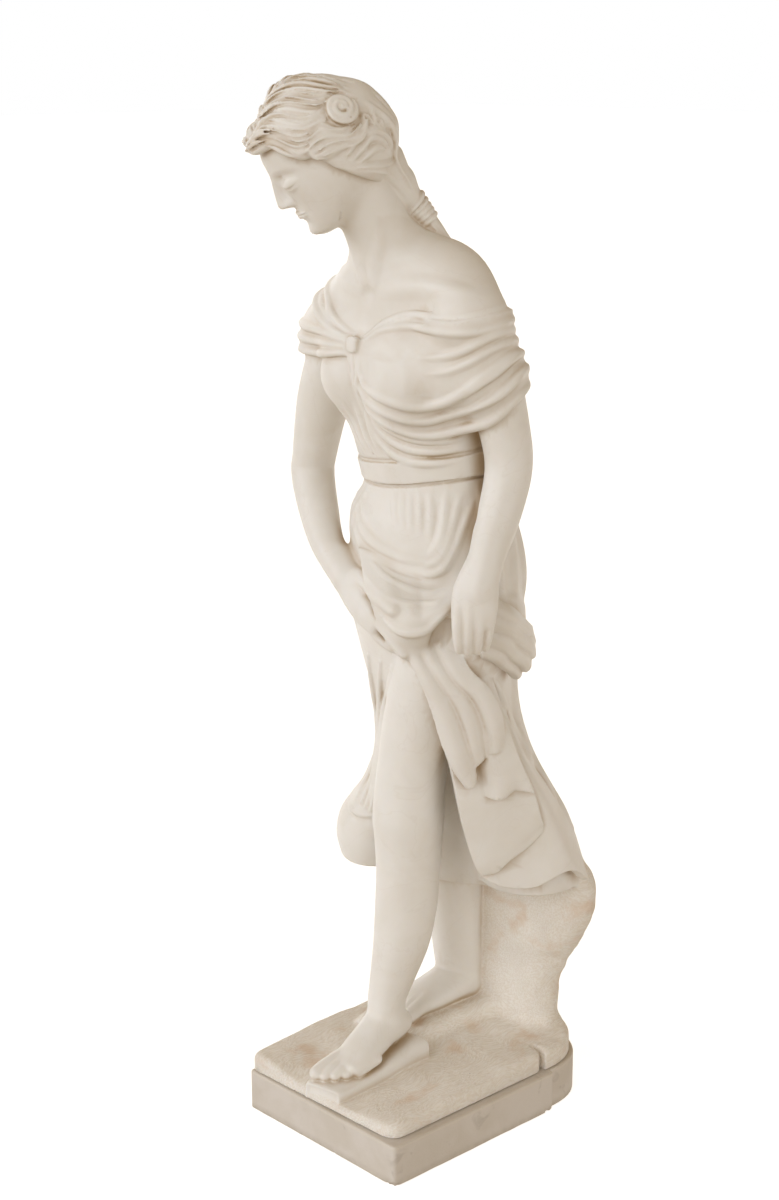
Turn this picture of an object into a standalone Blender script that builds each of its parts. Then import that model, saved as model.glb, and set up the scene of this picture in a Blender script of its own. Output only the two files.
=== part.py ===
"""A draped standing woman carved in marble, on a square plinth.

Axes: +Z up. She faces -Y and her left side is +X. The origin is the middle of the plinth's square
underside. Her weight stands on two feet: the left one is forward and bare to the thigh, the right one
is behind it against a rough rock that the back of the skirt runs into. Both hands gather the skirt.

The figure, its ground and its rock are one carving. The plinth is a second block below it.
All lengths are metres.
"""

import bmesh
import bpy
import numpy as np

# Plinth: a square block with a rounded tongue at the back
PLINTH_HALF_X = 0.1575
PLINTH_HALF_Y = 0.1625
PLINTH_TOP = 0.061
PLINTH_ARRIS = 0.0035
PLINTH_CORNER = 0.006
TONGUE_X = 0.020
TONGUE_HALF_WIDTH = 0.130
TONGUE_DEPTH = 0.110
JOINT = 0.0004

# Ground: the carving's own slab, with soft edges, set in from the plinth's edge
GROUND_INSET = 0.008
GROUND_CORNER = 0.028
GROUND_EDGE = 0.013
GROUND_TOP = 0.091
GROUND_RISE = 0.012

# The carving is joined and evened at this size of detail
DETAIL = 0.0062
SMOOTHING = 4
FIGURE_FACES = 8600

# Oval sections along each limb: x, y, z, half-width across, half-depth, and a turn in degrees
TORSO = [
    (0.012, 0.056, 0.700, 0.120, 0.096), (0.015, 0.053, 0.780, 0.137, 0.108),
    (0.016, 0.050, 0.845, 0.134, 0.104), (0.018, 0.040, 0.900, 0.116, 0.092),
    (0.018, 0.036, 0.955, 0.104, 0.082), (0.012, 0.024, 1.030, 0.114, 0.085),
    (0.006, 0.010, 1.105, 0.124, 0.088), (0.004, -0.004, 1.170, 0.128, 0.078),
    (0.004, -0.016, 1.220, 0.116, 0.058), (0.002, -0.022, 1.255, 0.062, 0.048),
]
SHOULDERS = [
    (-0.118, 0.004, 1.160, 0.041, 0.043), (-0.084, -0.008, 1.200, 0.034, 0.038),
    (-0.030, -0.016, 1.236, 0.032, 0.044), (0.035, -0.008, 1.254, 0.038, 0.048),
    (0.092, -0.010, 1.242, 0.040, 0.045), (0.138, -0.016, 1.196, 0.045, 0.048),
]
NECK = [
    (0.002, -0.022, 1.215, 0.060, 0.050), (0.002, -0.040, 1.275, 0.045, 0.048),
    (0.000, -0.064, 1.325, 0.043, 0.049), (-0.006, -0.095, 1.370, 0.048, 0.055),
]
LEFT_ARM = [
    (0.138, -0.018, 1.190, 0.044, 0.046), (0.152, 0.012, 1.120, 0.038, 0.040),
    (0.160, 0.033, 1.044, 0.033, 0.035), (0.162, 0.040, 0.990, 0.031, 0.033),
    (0.166, 0.022, 0.930, 0.029, 0.030), (0.178, -0.006, 0.881, 0.026, 0.026),
    (0.188, -0.030, 0.838, 0.021, 0.023),
]
LEFT_HAND = [
    (0.188, -0.030, 0.838, 0.021, 0.022), (0.193, -0.046, 0.805, 0.022, 0.034),
    (0.194, -0.054, 0.775, 0.019, 0.035), (0.194, -0.056, 0.752, 0.015, 0.031),
]
RIGHT_ARM = [
    (-0.120, 0.004, 1.160, 0.042, 0.044), (-0.148, 0.004, 1.100, 0.039, 0.041),
    (-0.172, 0.005, 1.040, 0.037, 0.038), (-0.196, 0.010, 0.965, 0.031, 0.033),
    (-0.198, 0.008, 0.935, 0.031, 0.032), (-0.168, -0.008, 0.890, 0.029, 0.029),
    (-0.116, -0.036, 0.850, 0.024, 0.024), (-0.060, -0.052, 0.816, 0.020, 0.021),
]
RIGHT_HAND = [
    (-0.060, -0.052, 0.816, 0.021, 0.020), (-0.020, -0.064, 0.792, 0.036, 0.020),
    (0.018, -0.064, 0.766, 0.036, 0.018), (0.045, -0.058, 0.748, 0.026, 0.015),
]
LEFT_LEG = [
    (0.080, 0.045, 0.770, 0.078, 0.090), (0.050, 0.026, 0.680, 0.066, 0.074),
    (0.028, 0.010, 0.600, 0.054, 0.058), (0.020, 0.003, 0.553, 0.049, 0.052),
    (0.016, 0.000, 0.480, 0.050, 0.053), (0.014, -0.002, 0.420, 0.047, 0.050),
    (0.012, -0.002, 0.350, 0.043, 0.048), (0.008, -0.006, 0.277, 0.042, 0.046),
    (0.003, -0.014, 0.220, 0.037, 0.040), (-0.003, -0.020, 0.175, 0.033, 0.036),
    (-0.006, -0.018, 0.130, 0.033, 0.040),
]
LEFT_FOOT = [
    (-0.006, 0.024, 0.126, 0.026, 0.022), (-0.006, -0.010, 0.134, 0.032, 0.034),
    (-0.006, -0.050, 0.124, 0.034, 0.030), (-0.006, -0.095, 0.112, 0.039, 0.021),
    (-0.006, -0.130, 0.105, 0.040, 0.014), (-0.003, -0.156, 0.102, 0.034, 0.010),
]
FOOT_REST = [
    (-0.004, 0.045, 0.090, 0.048, 0.022), (-0.004, -0.040, 0.088, 0.046, 0.020),
    (-0.004, -0.120, 0.086, 0.047, 0.014), (-0.010, -0.155, 0.084, 0.046, 0.012),
]
RIGHT_LEG = [
    (-0.058, 0.065, 0.760, 0.072, 0.088), (-0.054, 0.085, 0.650, 0.062, 0.074),
    (-0.052, 0.112, 0.540, 0.054, 0.060), (-0.050, 0.128, 0.450, 0.049, 0.054),
    (-0.050, 0.140, 0.370, 0.046, 0.052), (-0.054, 0.150, 0.300, 0.042, 0.046),
    (-0.056, 0.156, 0.225, 0.036, 0.038), (-0.056, 0.160, 0.170, 0.034, 0.040),
    (-0.056, 0.162, 0.140, 0.032, 0.040),
]
RIGHT_FOOT = [
    (-0.056, 0.190, 0.148, 0.027, 0.024), (-0.058, 0.155, 0.156, 0.031, 0.032),
    (-0.062, 0.110, 0.148, 0.033, 0.026), (-0.066, 0.065, 0.138, 0.037, 0.017),
    (-0.068, 0.030, 0.134, 0.034, 0.012),
]
LEDGE = [
    (-0.060, 0.215, 0.100, 0.060, 0.030), (-0.064, 0.130, 0.098, 0.056, 0.028),
    (-0.066, 0.050, 0.092, 0.052, 0.026),
]
ROCK = [
    (0.055, 0.166, 0.075, 0.110, 0.082), (0.055, 0.170, 0.150, 0.095, 0.068),
    (0.058, 0.180, 0.220, 0.098, 0.072), (0.066, 0.192, 0.300, 0.108, 0.078),
    (0.062, 0.186, 0.370, 0.105, 0.078), (0.050, 0.170, 0.440, 0.080, 0.070),
]
SKIRT_BACK = [
    (0.014, 0.058, 0.700, 0.116, 0.096), (0.018, 0.062, 0.620, 0.106, 0.088),
    (0.022, 0.086, 0.532, 0.108, 0.090), (0.030, 0.122, 0.470, 0.118, 0.096),
    (0.036, 0.150, 0.420, 0.126, 0.102), (0.040, 0.160, 0.390, 0.128, 0.100),
]
SKIRT_RIGHT = [
    (-0.065, 0.075, 0.620, 0.048, 0.052), (-0.068, 0.078, 0.540, 0.044, 0.050),
    (-0.086, 0.070, 0.475, 0.042, 0.046), (-0.112, 0.060, 0.425, 0.046, 0.052),
    (-0.122, 0.058, 0.385, 0.044, 0.052),
]
CASCADE = [
    (0.125, 0.000, 0.735, 0.028, 0.046), (0.120, 0.026, 0.650, 0.024, 0.056),
    (0.120, 0.060, 0.562, 0.024, 0.066), (0.124, 0.104, 0.470, 0.026, 0.080),
    (0.128, 0.148, 0.392, 0.024, 0.092),
]
GATHER = [
    (-0.025, -0.045, 0.775, 0.026, 0.034), (0.030, -0.054, 0.758, 0.028, 0.034),
    (0.085, -0.054, 0.748, 0.030, 0.036), (0.130, -0.050, 0.765, 0.030, 0.038),
    (0.168, -0.035, 0.785, 0.024, 0.034),
]
FAN = [
    (0.180, -0.020, 0.795, 0.018, 0.026), (0.184, 0.020, 0.770, 0.022, 0.032),
    (0.176, 0.052, 0.748, 0.018, 0.030),
]
SLEEVE = [
    (-0.146, 0.010, 1.130, 0.044, 0.048), (-0.122, -0.002, 1.162, 0.042, 0.048),
    (-0.066, -0.030, 1.168, 0.044, 0.050), (0.000, -0.038, 1.138, 0.046, 0.054),
    (0.076, -0.028, 1.138, 0.056, 0.058), (0.132, -0.006, 1.126, 0.062, 0.056),
    (0.149, 0.012, 1.102, 0.056, 0.053),
]
TAIL = [
    (0.006, -0.040, 1.372, 0.036, 0.036), (0.025, 0.010, 1.326, 0.019, 0.019),
    (0.037, 0.032, 1.292, 0.020, 0.018), (0.044, 0.045, 1.260, 0.014, 0.011),
]
HEAD_CENTRE = np.array((-0.020, -0.122, 1.412))
HEAD_TURN, HEAD_DROP = -30.0, 30.0


def smooth_path(rows, count):
    """The rows joined by a Catmull-Rom curve and read at count even steps."""
    rows = np.asarray(rows, float)
    ends = np.vstack([2 * rows[0] - rows[1], rows, 2 * rows[-1] - rows[-2]])
    t = np.linspace(0, len(rows) - 1, count)
    i = np.minimum(t.astype(int), len(rows) - 2)
    f = (t - i)[:, None]
    p0, p1, p2, p3 = ends[i], ends[i + 1], ends[i + 2], ends[i + 3]
    return 0.5 * (2 * p1 + (p2 - p0) * f + (2 * p0 - 5 * p1 + 4 * p2 - p3) * f**2
                  + (3 * p1 - p0 - 3 * p2 + p3) * f**3)


def loft(bm, rows, across=(1, 0, 0), around=28, foot=1.0):
    """Oval sections carried along a smooth path, closed by a dome at each end. Foot 0 makes the first end flat."""
    rows = smooth_path(rows, 6 * len(rows))
    centre, wide, deep = rows[:, :3], rows[:, 3], rows[:, 4]
    along = np.gradient(centre, axis=0)
    along /= np.linalg.norm(along, axis=1)[:, None]
    side = np.asarray(across, float) - (along @ np.asarray(across, float))[:, None] * along
    side /= np.linalg.norm(side, axis=1)[:, None]
    up = np.cross(along, side)
    dome = np.radians([80, 60, 40, 20])
    rings = []
    for i in [0] * 4 + list(range(len(rows))) + [-1] * 4:
        step = len(rings)
        lean = dome[step] if step < 4 else dome[::-1][step - 4 - len(rows)] if step >= 4 + len(rows) else 0.0
        reach = np.sin(lean) * min(wide[i], deep[i]) * (-foot if step < 4 else 1)
        turn = np.linspace(0, 2 * np.pi, around, endpoint=False)
        ring = (centre[i] + reach * along[i] + np.cos(lean)
                * (np.outer(np.cos(turn), side[i]) * wide[i] + np.outer(np.sin(turn), up[i]) * deep[i]))
        rings.append([bm.verts.new(point) for point in ring])
    for low, high in zip(rings, rings[1:]):
        for k in range(around):
            m = (k + 1) % around
            bm.faces.new((low[k], low[m], high[m], high[k]))
    bm.faces.new(rings[0][::-1])
    bm.faces.new(rings[-1])


def oval(bm, centre, radii, turn=0.0, drop=0.0):
    """An ellipsoid, dropped forward about X and then turned about Z, in degrees."""
    a, b = np.radians(turn), np.radians(drop)
    about_z = np.array(((np.cos(a), -np.sin(a), 0), (np.sin(a), np.cos(a), 0), (0, 0, 1)))
    about_x = np.array(((1, 0, 0), (0, np.cos(b), -np.sin(b)), (0, np.sin(b), np.cos(b))))
    made = bmesh.ops.create_uvsphere(bm, u_segments=32, v_segments=20, radius=1.0)
    for vert in made["verts"]:
        vert.co = about_z @ about_x @ (np.array(vert.co) * radii) + centre


def outline(inset, corner):
    """Plan of the square with rounded corners and, at the back, its half-oval tongue."""
    hx, hy = PLINTH_HALF_X - inset, PLINTH_HALF_Y - inset
    points = []
    for turn, sx, sy in ((180, -1, -1), (270, 1, -1), (0, 1, 1)):
        for a in np.radians(np.linspace(turn, turn + 90, 7)):
            points.append((sx * (hx - corner) + corner * np.cos(a), sy * (hy - corner) + corner * np.sin(a)))
    half, deep = TONGUE_HALF_WIDTH - inset, TONGUE_DEPTH
    for a in np.linspace(0, np.pi, 19):
        points.append((TONGUE_X + half * np.cos(a), hy + deep * np.sin(a)))
    for a in np.radians(np.linspace(90, 180, 7)):
        points.append((-hx + corner + corner * np.cos(a), hy - corner + corner * np.sin(a)))
    return points


def slab(bm, levels, rise=0.0):
    """A stack of plan outlines, each at its own height, inset and corner radius. Above the first one
    the heights rise towards the back."""
    rings = []
    for z, inset, corner in levels:
        back = rise if rings else 0.0
        rings.append([bm.verts.new((x, y, z + back * min(max(0.5 + y / 0.3, 0.0), 1.0)))
                      for x, y in outline(inset, corner)])
    for low, high in zip(rings, rings[1:]):
        for k in range(len(low)):
            m = (k + 1) % len(low)
            bm.faces.new((low[k], low[m], high[m], high[k]))
    bm.faces.new(rings[0][::-1])
    bm.faces.new(rings[-1])


def marble(name, colour, roughness):
    material = bpy.data.materials.new(name)
    material.use_nodes = True
    shader = material.node_tree.nodes["Principled BSDF"]
    shader.inputs["Base Color"].default_value = (*colour, 1.0)
    shader.inputs["Roughness"].default_value = roughness
    shader.inputs["Metallic"].default_value = 0.0
    return material


def piece(name, bm, material, collection):
    mesh = bpy.data.meshes.new(name)
    bm.to_mesh(mesh)
    bm.free()
    mesh.materials.append(material)
    obj = bpy.data.objects.new(name, mesh)
    collection.objects.link(obj)
    return obj


def make_plinth(collection):
    bm = bmesh.new()
    a = PLINTH_ARRIS
    slab(bm, [(0.0, a, PLINTH_CORNER), (a, 0.0, PLINTH_CORNER + 0.001),
              (PLINTH_TOP - a, 0.0, PLINTH_CORNER + 0.001), (PLINTH_TOP, a, PLINTH_CORNER)])
    return piece("plinth", bm, marble("plinth_marble", (0.70, 0.62, 0.52), 0.60), collection)


def make_figure(collection):
    bm = bmesh.new()
    low, high, e = PLINTH_TOP + JOINT, GROUND_TOP, GROUND_EDGE
    levels = [(low, GROUND_INSET + 0.002, GROUND_CORNER)]
    for a in np.radians(np.linspace(0, 80, 5)):
        levels.append((high - e + e * np.sin(a), GROUND_INSET + e - e * np.cos(a), GROUND_CORNER))
    slab(bm, levels, GROUND_RISE)
    loft(bm, ROCK, foot=0.0)
    for rows in (TORSO, NECK, LEFT_ARM, RIGHT_ARM, RIGHT_HAND, LEFT_HAND, LEFT_LEG, RIGHT_LEG,
                 SKIRT_BACK, SKIRT_RIGHT, CASCADE):
        loft(bm, rows)
    for rows in (LEFT_FOOT, FOOT_REST, RIGHT_FOOT, LEDGE):
        loft(bm, rows)
    for rows in (SHOULDERS, SLEEVE, GATHER):
        loft(bm, rows, across=(0, 0, 1))
    loft(bm, FAN)
    loft(bm, TAIL)
    for x, y in ((0.056, -0.046), (-0.052, -0.040)):
        oval(bm, (x, y, 1.105), (0.056, 0.055, 0.058))
    for x in (0.064, -0.040):
        oval(bm, (x, 0.094, 0.780), (0.066, 0.060, 0.080))
    oval(bm, HEAD_CENTRE, (0.077, 0.097, 0.087), HEAD_TURN, HEAD_DROP)
    oval(bm, HEAD_CENTRE + (-0.004, -0.010, -0.052), (0.054, 0.062, 0.076), HEAD_TURN, HEAD_DROP)
    figure = piece("figure", bm, marble("figure_marble", (0.78, 0.71, 0.60), 0.45), collection)
    join = figure.modifiers.new("join", "REMESH")
    join.mode = "VOXEL"
    join.voxel_size = DETAIL
    ease = figure.modifiers.new("ease", "SMOOTH")
    ease.factor = 0.5
    ease.iterations = SMOOTHING
    thin = figure.modifiers.new("thin", "DECIMATE")
    thin.ratio = 1.0
    bpy.context.view_layer.update()
    joined = figure.evaluated_get(bpy.context.evaluated_depsgraph_get()).data
    joined.calc_loop_triangles()
    thin.ratio = FIGURE_FACES / len(joined.loop_triangles)
    return figure


def main():
    for obj in list(bpy.data.objects):
        bpy.data.objects.remove(obj, do_unlink=True)
    collection = bpy.data.collections.new("marble_statue")
    bpy.context.scene.collection.children.link(collection)
    bpy.context.scene.unit_settings.system = "METRIC"
    make_plinth(collection)
    make_figure(collection)


main()
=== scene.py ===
"""A classical marble statue of a draped woman on a low plinth: the carved figure and the plinth's stone,
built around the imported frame."""
import copy
import math

import bmesh
import bpy
import numpy as np
import openvdb
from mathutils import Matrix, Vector


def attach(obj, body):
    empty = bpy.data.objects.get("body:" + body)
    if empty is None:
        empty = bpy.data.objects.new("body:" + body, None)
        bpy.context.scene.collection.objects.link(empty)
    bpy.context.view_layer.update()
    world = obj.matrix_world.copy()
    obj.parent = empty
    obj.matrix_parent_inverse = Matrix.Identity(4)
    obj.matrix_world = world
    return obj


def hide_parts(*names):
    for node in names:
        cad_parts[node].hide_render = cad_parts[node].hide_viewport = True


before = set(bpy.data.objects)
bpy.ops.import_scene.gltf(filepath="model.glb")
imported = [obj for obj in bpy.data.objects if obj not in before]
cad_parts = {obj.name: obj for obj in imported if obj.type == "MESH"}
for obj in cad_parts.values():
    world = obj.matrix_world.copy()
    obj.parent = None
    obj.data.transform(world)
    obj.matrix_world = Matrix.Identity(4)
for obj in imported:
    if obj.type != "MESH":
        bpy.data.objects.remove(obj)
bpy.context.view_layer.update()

PITCH, PLINTH_PITCH = 0.0017, 0.0012  # the size of one cell of each block, in metres
FIGURE_TRIANGLES, PLINTH_TRIANGLES = 197000, 60000


def unit(v):
    """Vectors divided by their lengths."""
    return v / np.maximum(np.linalg.norm(v, axis=-1, keepdims=True), 1e-12)


def smooth_path(rows, count):
    """Rows of numbers joined by a Catmull-Rom curve, read at `count` even steps of its parameter."""
    rows = np.asarray(rows, float)
    ends = np.vstack([2 * rows[0] - rows[1], rows, 2 * rows[-1] - rows[-2]])
    t = np.linspace(0, len(rows) - 1, count)
    i = np.minimum(t.astype(int), len(rows) - 2)
    f = (t - i)[:, None]
    p0, p1, p2, p3 = ends[i], ends[i + 1], ends[i + 2], ends[i + 3]
    return 0.5 * (2 * p1 + (p2 - p0) * f + (2 * p0 - 5 * p1 + 4 * p2 - p3) * f**2
                  + (3 * p1 - p0 - 3 * p2 + p3) * f**3)


def closed(grid):
    """A grid of points (rings, around, 3) as a closed surface: each end ring is drawn in to its middle."""
    n, m, _ = grid.shape
    points = np.concatenate([grid.reshape(-1, 3), grid[0].mean(0)[None], grid[-1].mean(0)[None]])
    i, j = np.arange(n - 1)[:, None] * m, np.arange(m)[None]
    k = (j + 1) % m
    quads = np.stack([i + j, i + k, i + m + k, i + m + j], -1).reshape(-1, 4)
    j, k = j[0], k[0]
    low = np.stack([np.full(m, n * m), k, j], -1)
    high = np.stack([np.full(m, n * m + 1), (n - 1) * m + j, (n - 1) * m + k], -1)
    return points, quads, np.concatenate([low, high])


def limb(rows, across=(1, 0, 0), around=48, rings=0):
    """Oval sections carried along a smooth path: P = C(v) + a(v) cos u A(v) + b(v) sin u B(v), where A is
    `across` squared to the path, B is square to both, and a quarter-round dome closes each end.
    A row is x, y, z, a, b and, if given, a turn of the oval in degrees."""
    rows = np.asarray(rows, float)
    if rows.shape[1] == 4:
        rows = np.column_stack([rows, rows[:, 3]])
    if rows.shape[1] == 5:
        rows = np.column_stack([rows, np.zeros(len(rows))])
    rows = smooth_path(rows, rings or 7 * len(rows))
    centre, a, b = rows[:, :3], rows[:, 3], rows[:, 4]
    along = unit(np.gradient(centre, axis=0))
    across = np.broadcast_to(np.asarray(across, float), along.shape)
    side = unit(across - (across * along).sum(1, keepdims=True) * along)
    rise = np.cross(along, side)
    turn = np.radians(rows[:, 5])[:, None]
    side, rise = side * np.cos(turn) + rise * np.sin(turn), rise * np.cos(turn) - side * np.sin(turn)
    n = 5  # rings in each dome
    lean = np.radians(np.concatenate([np.linspace(78, 15, n), np.zeros(len(rows)), np.linspace(15, 78, n)]))
    pick = np.concatenate([np.zeros(n, int), np.arange(len(rows)), np.full(n, len(rows) - 1)])
    reach = np.concatenate([np.full(n, -1.0), np.zeros(len(rows)), np.full(n, 1.0)])
    c = centre[pick] + (reach * np.sin(lean) * np.minimum(a, b)[pick])[:, None] * along[pick]
    u = np.linspace(0, 2 * np.pi, around, endpoint=False)
    shrink = np.cos(lean)[:, None, None]
    grid = (c[:, None] + shrink * ((a[pick][:, None] * np.cos(u))[..., None] * side[pick][:, None]
                                   + (b[pick][:, None] * np.sin(u))[..., None] * rise[pick][:, None]))
    return closed(grid)


def ball(centre, radii, turn=None):
    """An ellipsoid C + (a sin v cos u, b sin v sin u, -c cos v), its axes turned by the matrix `turn`."""
    v = np.linspace(0, np.pi, 25)[1:-1]
    u = np.linspace(0, 2 * np.pi, 48, endpoint=False)
    grid = np.stack([np.outer(np.sin(v), np.cos(u)), np.outer(np.sin(v), np.sin(u)),
                     np.outer(-np.cos(v), np.ones_like(u))], -1) * radii
    if turn is not None:
        grid = grid @ np.asarray(turn).T
    return closed(grid + np.asarray(centre, float))


def cord(points, radius, taper=0.5, ends=0.25):
    """A round bead along points: radius falls to `ends` of itself towards both ends as sin(pi t)**taper."""
    t = np.linspace(0, 1, len(points))
    r = radius * np.maximum(np.sin(np.pi * t) ** taper, ends)
    rows = np.column_stack([points, r, r])
    spread = points[-1] - points[0]
    across = np.cross(spread, (0.31, -0.52, 0.79))
    return limb(rows, across=unit(across), around=20, rings=len(points))


def sheet(grid, thick):
    """A grid of points (n, m, 3) made a slab: offset both ways along its normals by half of `thick`."""
    n, m, _ = grid.shape
    du, dv = np.gradient(grid, axis=0), np.gradient(grid, axis=1)
    normal = unit(np.cross(du, dv))
    half = np.broadcast_to(np.asarray(thick, float), (n, m))[..., None] / 2
    front, back = grid + half * normal, grid - half * normal
    points = np.concatenate([front.reshape(-1, 3), back.reshape(-1, 3)])
    i, j = np.arange(n - 1)[:, None] * m, np.arange(m - 1)[None]
    face = np.stack([i + j, i + m + j, i + m + j + 1, i + j + 1], -1).reshape(-1, 4)
    rim = np.concatenate([np.arange(m), np.arange(1, n) * m + m - 1, (n - 1) * m + np.arange(m - 2, -1, -1),
                          np.arange(n - 2, 0, -1) * m])
    nxt = np.roll(rim, -1)
    wall = np.stack([rim, nxt, nxt + n * m, rim + n * m], -1)
    return points, np.concatenate([face, face[:, ::-1] + n * m, wall]), np.zeros((0, 3), int)


class Block:
    """The marble as signed distances on a cubic grid, negative inside. Bodies are joined and cut with a
    rounded junction: min(a, b) - max(k - |a - b|, 0)**2 / 4k, where k is the size of the rounding."""

    def __init__(self, low, high, pitch, band):
        self.pitch, self.band = pitch, int(np.ceil(band / pitch))
        self.low = np.floor(np.asarray(low) / pitch).astype(int)
        self.size = np.ceil(np.asarray(high) / pitch).astype(int) - self.low + 1
        self.far = self.band * pitch
        self.field = np.full(self.size, self.far, np.float32)
        self.place = openvdb.createLinearTransform(pitch)

    def as_it_is(self):
        """The block at this moment, kept apart from later work."""
        kept = copy.copy(self)
        kept.field = self.field.copy()
        return kept

    def stamp(self, surface):
        """A closed surface's own distances, and the part of the block that they fill."""
        points, quads, tris = surface
        grid = openvdb.FloatGrid.createLevelSetFromPolygons(
            points.astype(np.float32), triangles=tris.astype(np.uint32), quads=quads.astype(np.uint32),
            transform=self.place, halfWidth=float(self.band))
        low, high = grid.evalActiveVoxelBoundingBox()
        low, high = np.maximum(low, self.low), np.minimum(high, self.low + self.size - 1)
        a = np.empty(high - low + 1, np.float32)
        grid.copyToArray(a, ijk=tuple(int(x) for x in low))
        return a, tuple(slice(int(x), int(y) + 1) for x, y in zip(low - self.low, high - self.low))

    def add(self, surface, blend=0.0):
        """Joins a body to the marble: the lesser distance, less the rounding."""
        a, spot = self.stamp(surface)
        d = self.field[spot]
        m = np.minimum(a, d)
        if blend:
            m -= np.maximum(blend - np.abs(a - d), 0) ** 2 / (4 * blend)
        self.field[spot] = m

    def cut(self, surface, blend=0.0):
        """Takes a body out of the marble: the greater distance, with the body's turned round."""
        a, spot = self.stamp(surface)
        a = -a
        d = self.field[spot]
        m = np.maximum(a, d)
        if blend:
            m += np.maximum(blend - np.abs(a - d), 0) ** 2 / (4 * blend)
        self.field[spot] = m

    def depth(self, points):
        """The distance at points, read between the grid's eight nearest values."""
        q = np.asarray(points) / self.pitch - self.low
        i = np.clip(np.floor(q).astype(int), 0, self.size - 2)
        f = np.clip(q - i, 0, 1)
        total = 0.0
        for corner in range(8):
            step = np.array([corner & 1, corner >> 1 & 1, corner >> 2 & 1])
            weight = np.prod(np.where(step, f, 1 - f), axis=-1)
            j = i + step
            total = total + weight * self.field[j[..., 0], j[..., 1], j[..., 2]]
        return total

    def land(self, points, heading, reach=0.35):
        """Moves points along heading until they meet the marble."""
        points, heading = np.array(points, float), unit(np.broadcast_to(heading, np.shape(points)))
        gone = np.zeros(len(points))
        for _ in range(300):
            d = self.depth(points)
            step = np.where((d > 1e-4) & (gone < reach), np.maximum(d * 0.8, 2e-4), 0.0)
            if not step.any():
                break
            points += step[:, None] * heading
            gone += step
        return points

    def skin(self):
        """The surface where the distance is 0, as points and quads that face outwards."""
        grid = openvdb.FloatGrid(float(self.far))
        grid.copyFromArray(np.ascontiguousarray(self.field), ijk=tuple(int(x) for x in self.low))
        grid.transform = self.place
        grid.gridClass = "level set"
        points, _, quads = grid.convertToPolygons(0.0, 0.0)
        return points.astype(float), quads[:, ::-1].astype(np.int64)


TORSO = [
    (0.010, 0.055, 0.700, 0.110, 0.089), (0.011, 0.051, 0.780, 0.128, 0.101),
    (0.012, 0.048, 0.845, 0.131, 0.102), (0.016, 0.041, 0.900, 0.125, 0.098),
    (0.018, 0.036, 0.955, 0.104, 0.082), (0.012, 0.024, 1.030, 0.110, 0.083),
    (0.006, 0.010, 1.105, 0.120, 0.086), (0.004, -0.002, 1.170, 0.124, 0.076),
    (0.004, -0.014, 1.220, 0.112, 0.058), (0.002, -0.022, 1.255, 0.062, 0.048),
]
SHOULDERS = [
    (-0.118, 0.004, 1.160, 0.041, 0.043), (-0.084, -0.006, 1.200, 0.034, 0.038),
    (-0.030, -0.014, 1.236, 0.032, 0.044), (0.039, -0.003, 1.254, 0.038, 0.048),
    (0.098, -0.003, 1.243, 0.040, 0.047), (0.140, -0.012, 1.195, 0.046, 0.049),
]
NECK = [
    (0.002, -0.014, 1.215, 0.060, 0.050), (0.002, -0.030, 1.270, 0.044, 0.048),
    (0.000, -0.056, 1.320, 0.042, 0.047), (-0.006, -0.085, 1.365, 0.046, 0.052),
]
LEFT_ARM = [
    (0.138, -0.018, 1.190, 0.044, 0.046), (0.152, 0.012, 1.120, 0.038, 0.040),
    (0.160, 0.033, 1.044, 0.033, 0.035), (0.162, 0.040, 0.990, 0.031, 0.033),
    (0.165, 0.020, 0.930, 0.028, 0.030), (0.174, -0.010, 0.881, 0.0225, 0.024),
    (0.178, -0.032, 0.840, 0.018, 0.018),
]
RIGHT_ARM = [
    (-0.120, 0.004, 1.160, 0.042, 0.044), (-0.148, 0.004, 1.100, 0.039, 0.041),
    (-0.172, 0.005, 1.040, 0.037, 0.038), (-0.196, 0.010, 0.965, 0.031, 0.033),
    (-0.198, 0.008, 0.935, 0.031, 0.032), (-0.168, -0.008, 0.890, 0.029, 0.029),
    (-0.116, -0.036, 0.850, 0.024, 0.024), (-0.060, -0.052, 0.816, 0.020, 0.021),
]
LEFT_LEG = [
    (0.080, 0.045, 0.770, 0.078, 0.090), (0.050, 0.026, 0.680, 0.066, 0.074),
    (0.028, 0.010, 0.600, 0.054, 0.058), (0.020, 0.003, 0.553, 0.049, 0.052),
    (0.015, 0.000, 0.505, 0.049, 0.052), (0.016, -0.003, 0.470, 0.050, 0.053),
    (0.014, -0.001, 0.430, 0.047, 0.050), (0.013, -0.001, 0.385, 0.044, 0.048),
    (0.010, -0.002, 0.330, 0.043, 0.047), (0.006, -0.007, 0.277, 0.0395, 0.043),
    (-0.002, -0.016, 0.225, 0.0325, 0.035), (-0.009, -0.022, 0.182, 0.0275, 0.029),
    (-0.010, -0.020, 0.140, 0.0275, 0.030),
]
RIGHT_LEG = [
    (-0.058, 0.065, 0.760, 0.072, 0.088), (-0.054, 0.085, 0.650, 0.062, 0.074),
    (-0.052, 0.112, 0.540, 0.054, 0.060), (-0.050, 0.128, 0.450, 0.049, 0.054),
    (-0.048, 0.143, 0.370, 0.046, 0.051), (-0.047, 0.157, 0.300, 0.043, 0.047),
    (-0.048, 0.164, 0.225, 0.040, 0.044), (-0.047, 0.169, 0.175, 0.038, 0.042),
    (-0.046, 0.171, 0.145, 0.036, 0.040),
]
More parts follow.
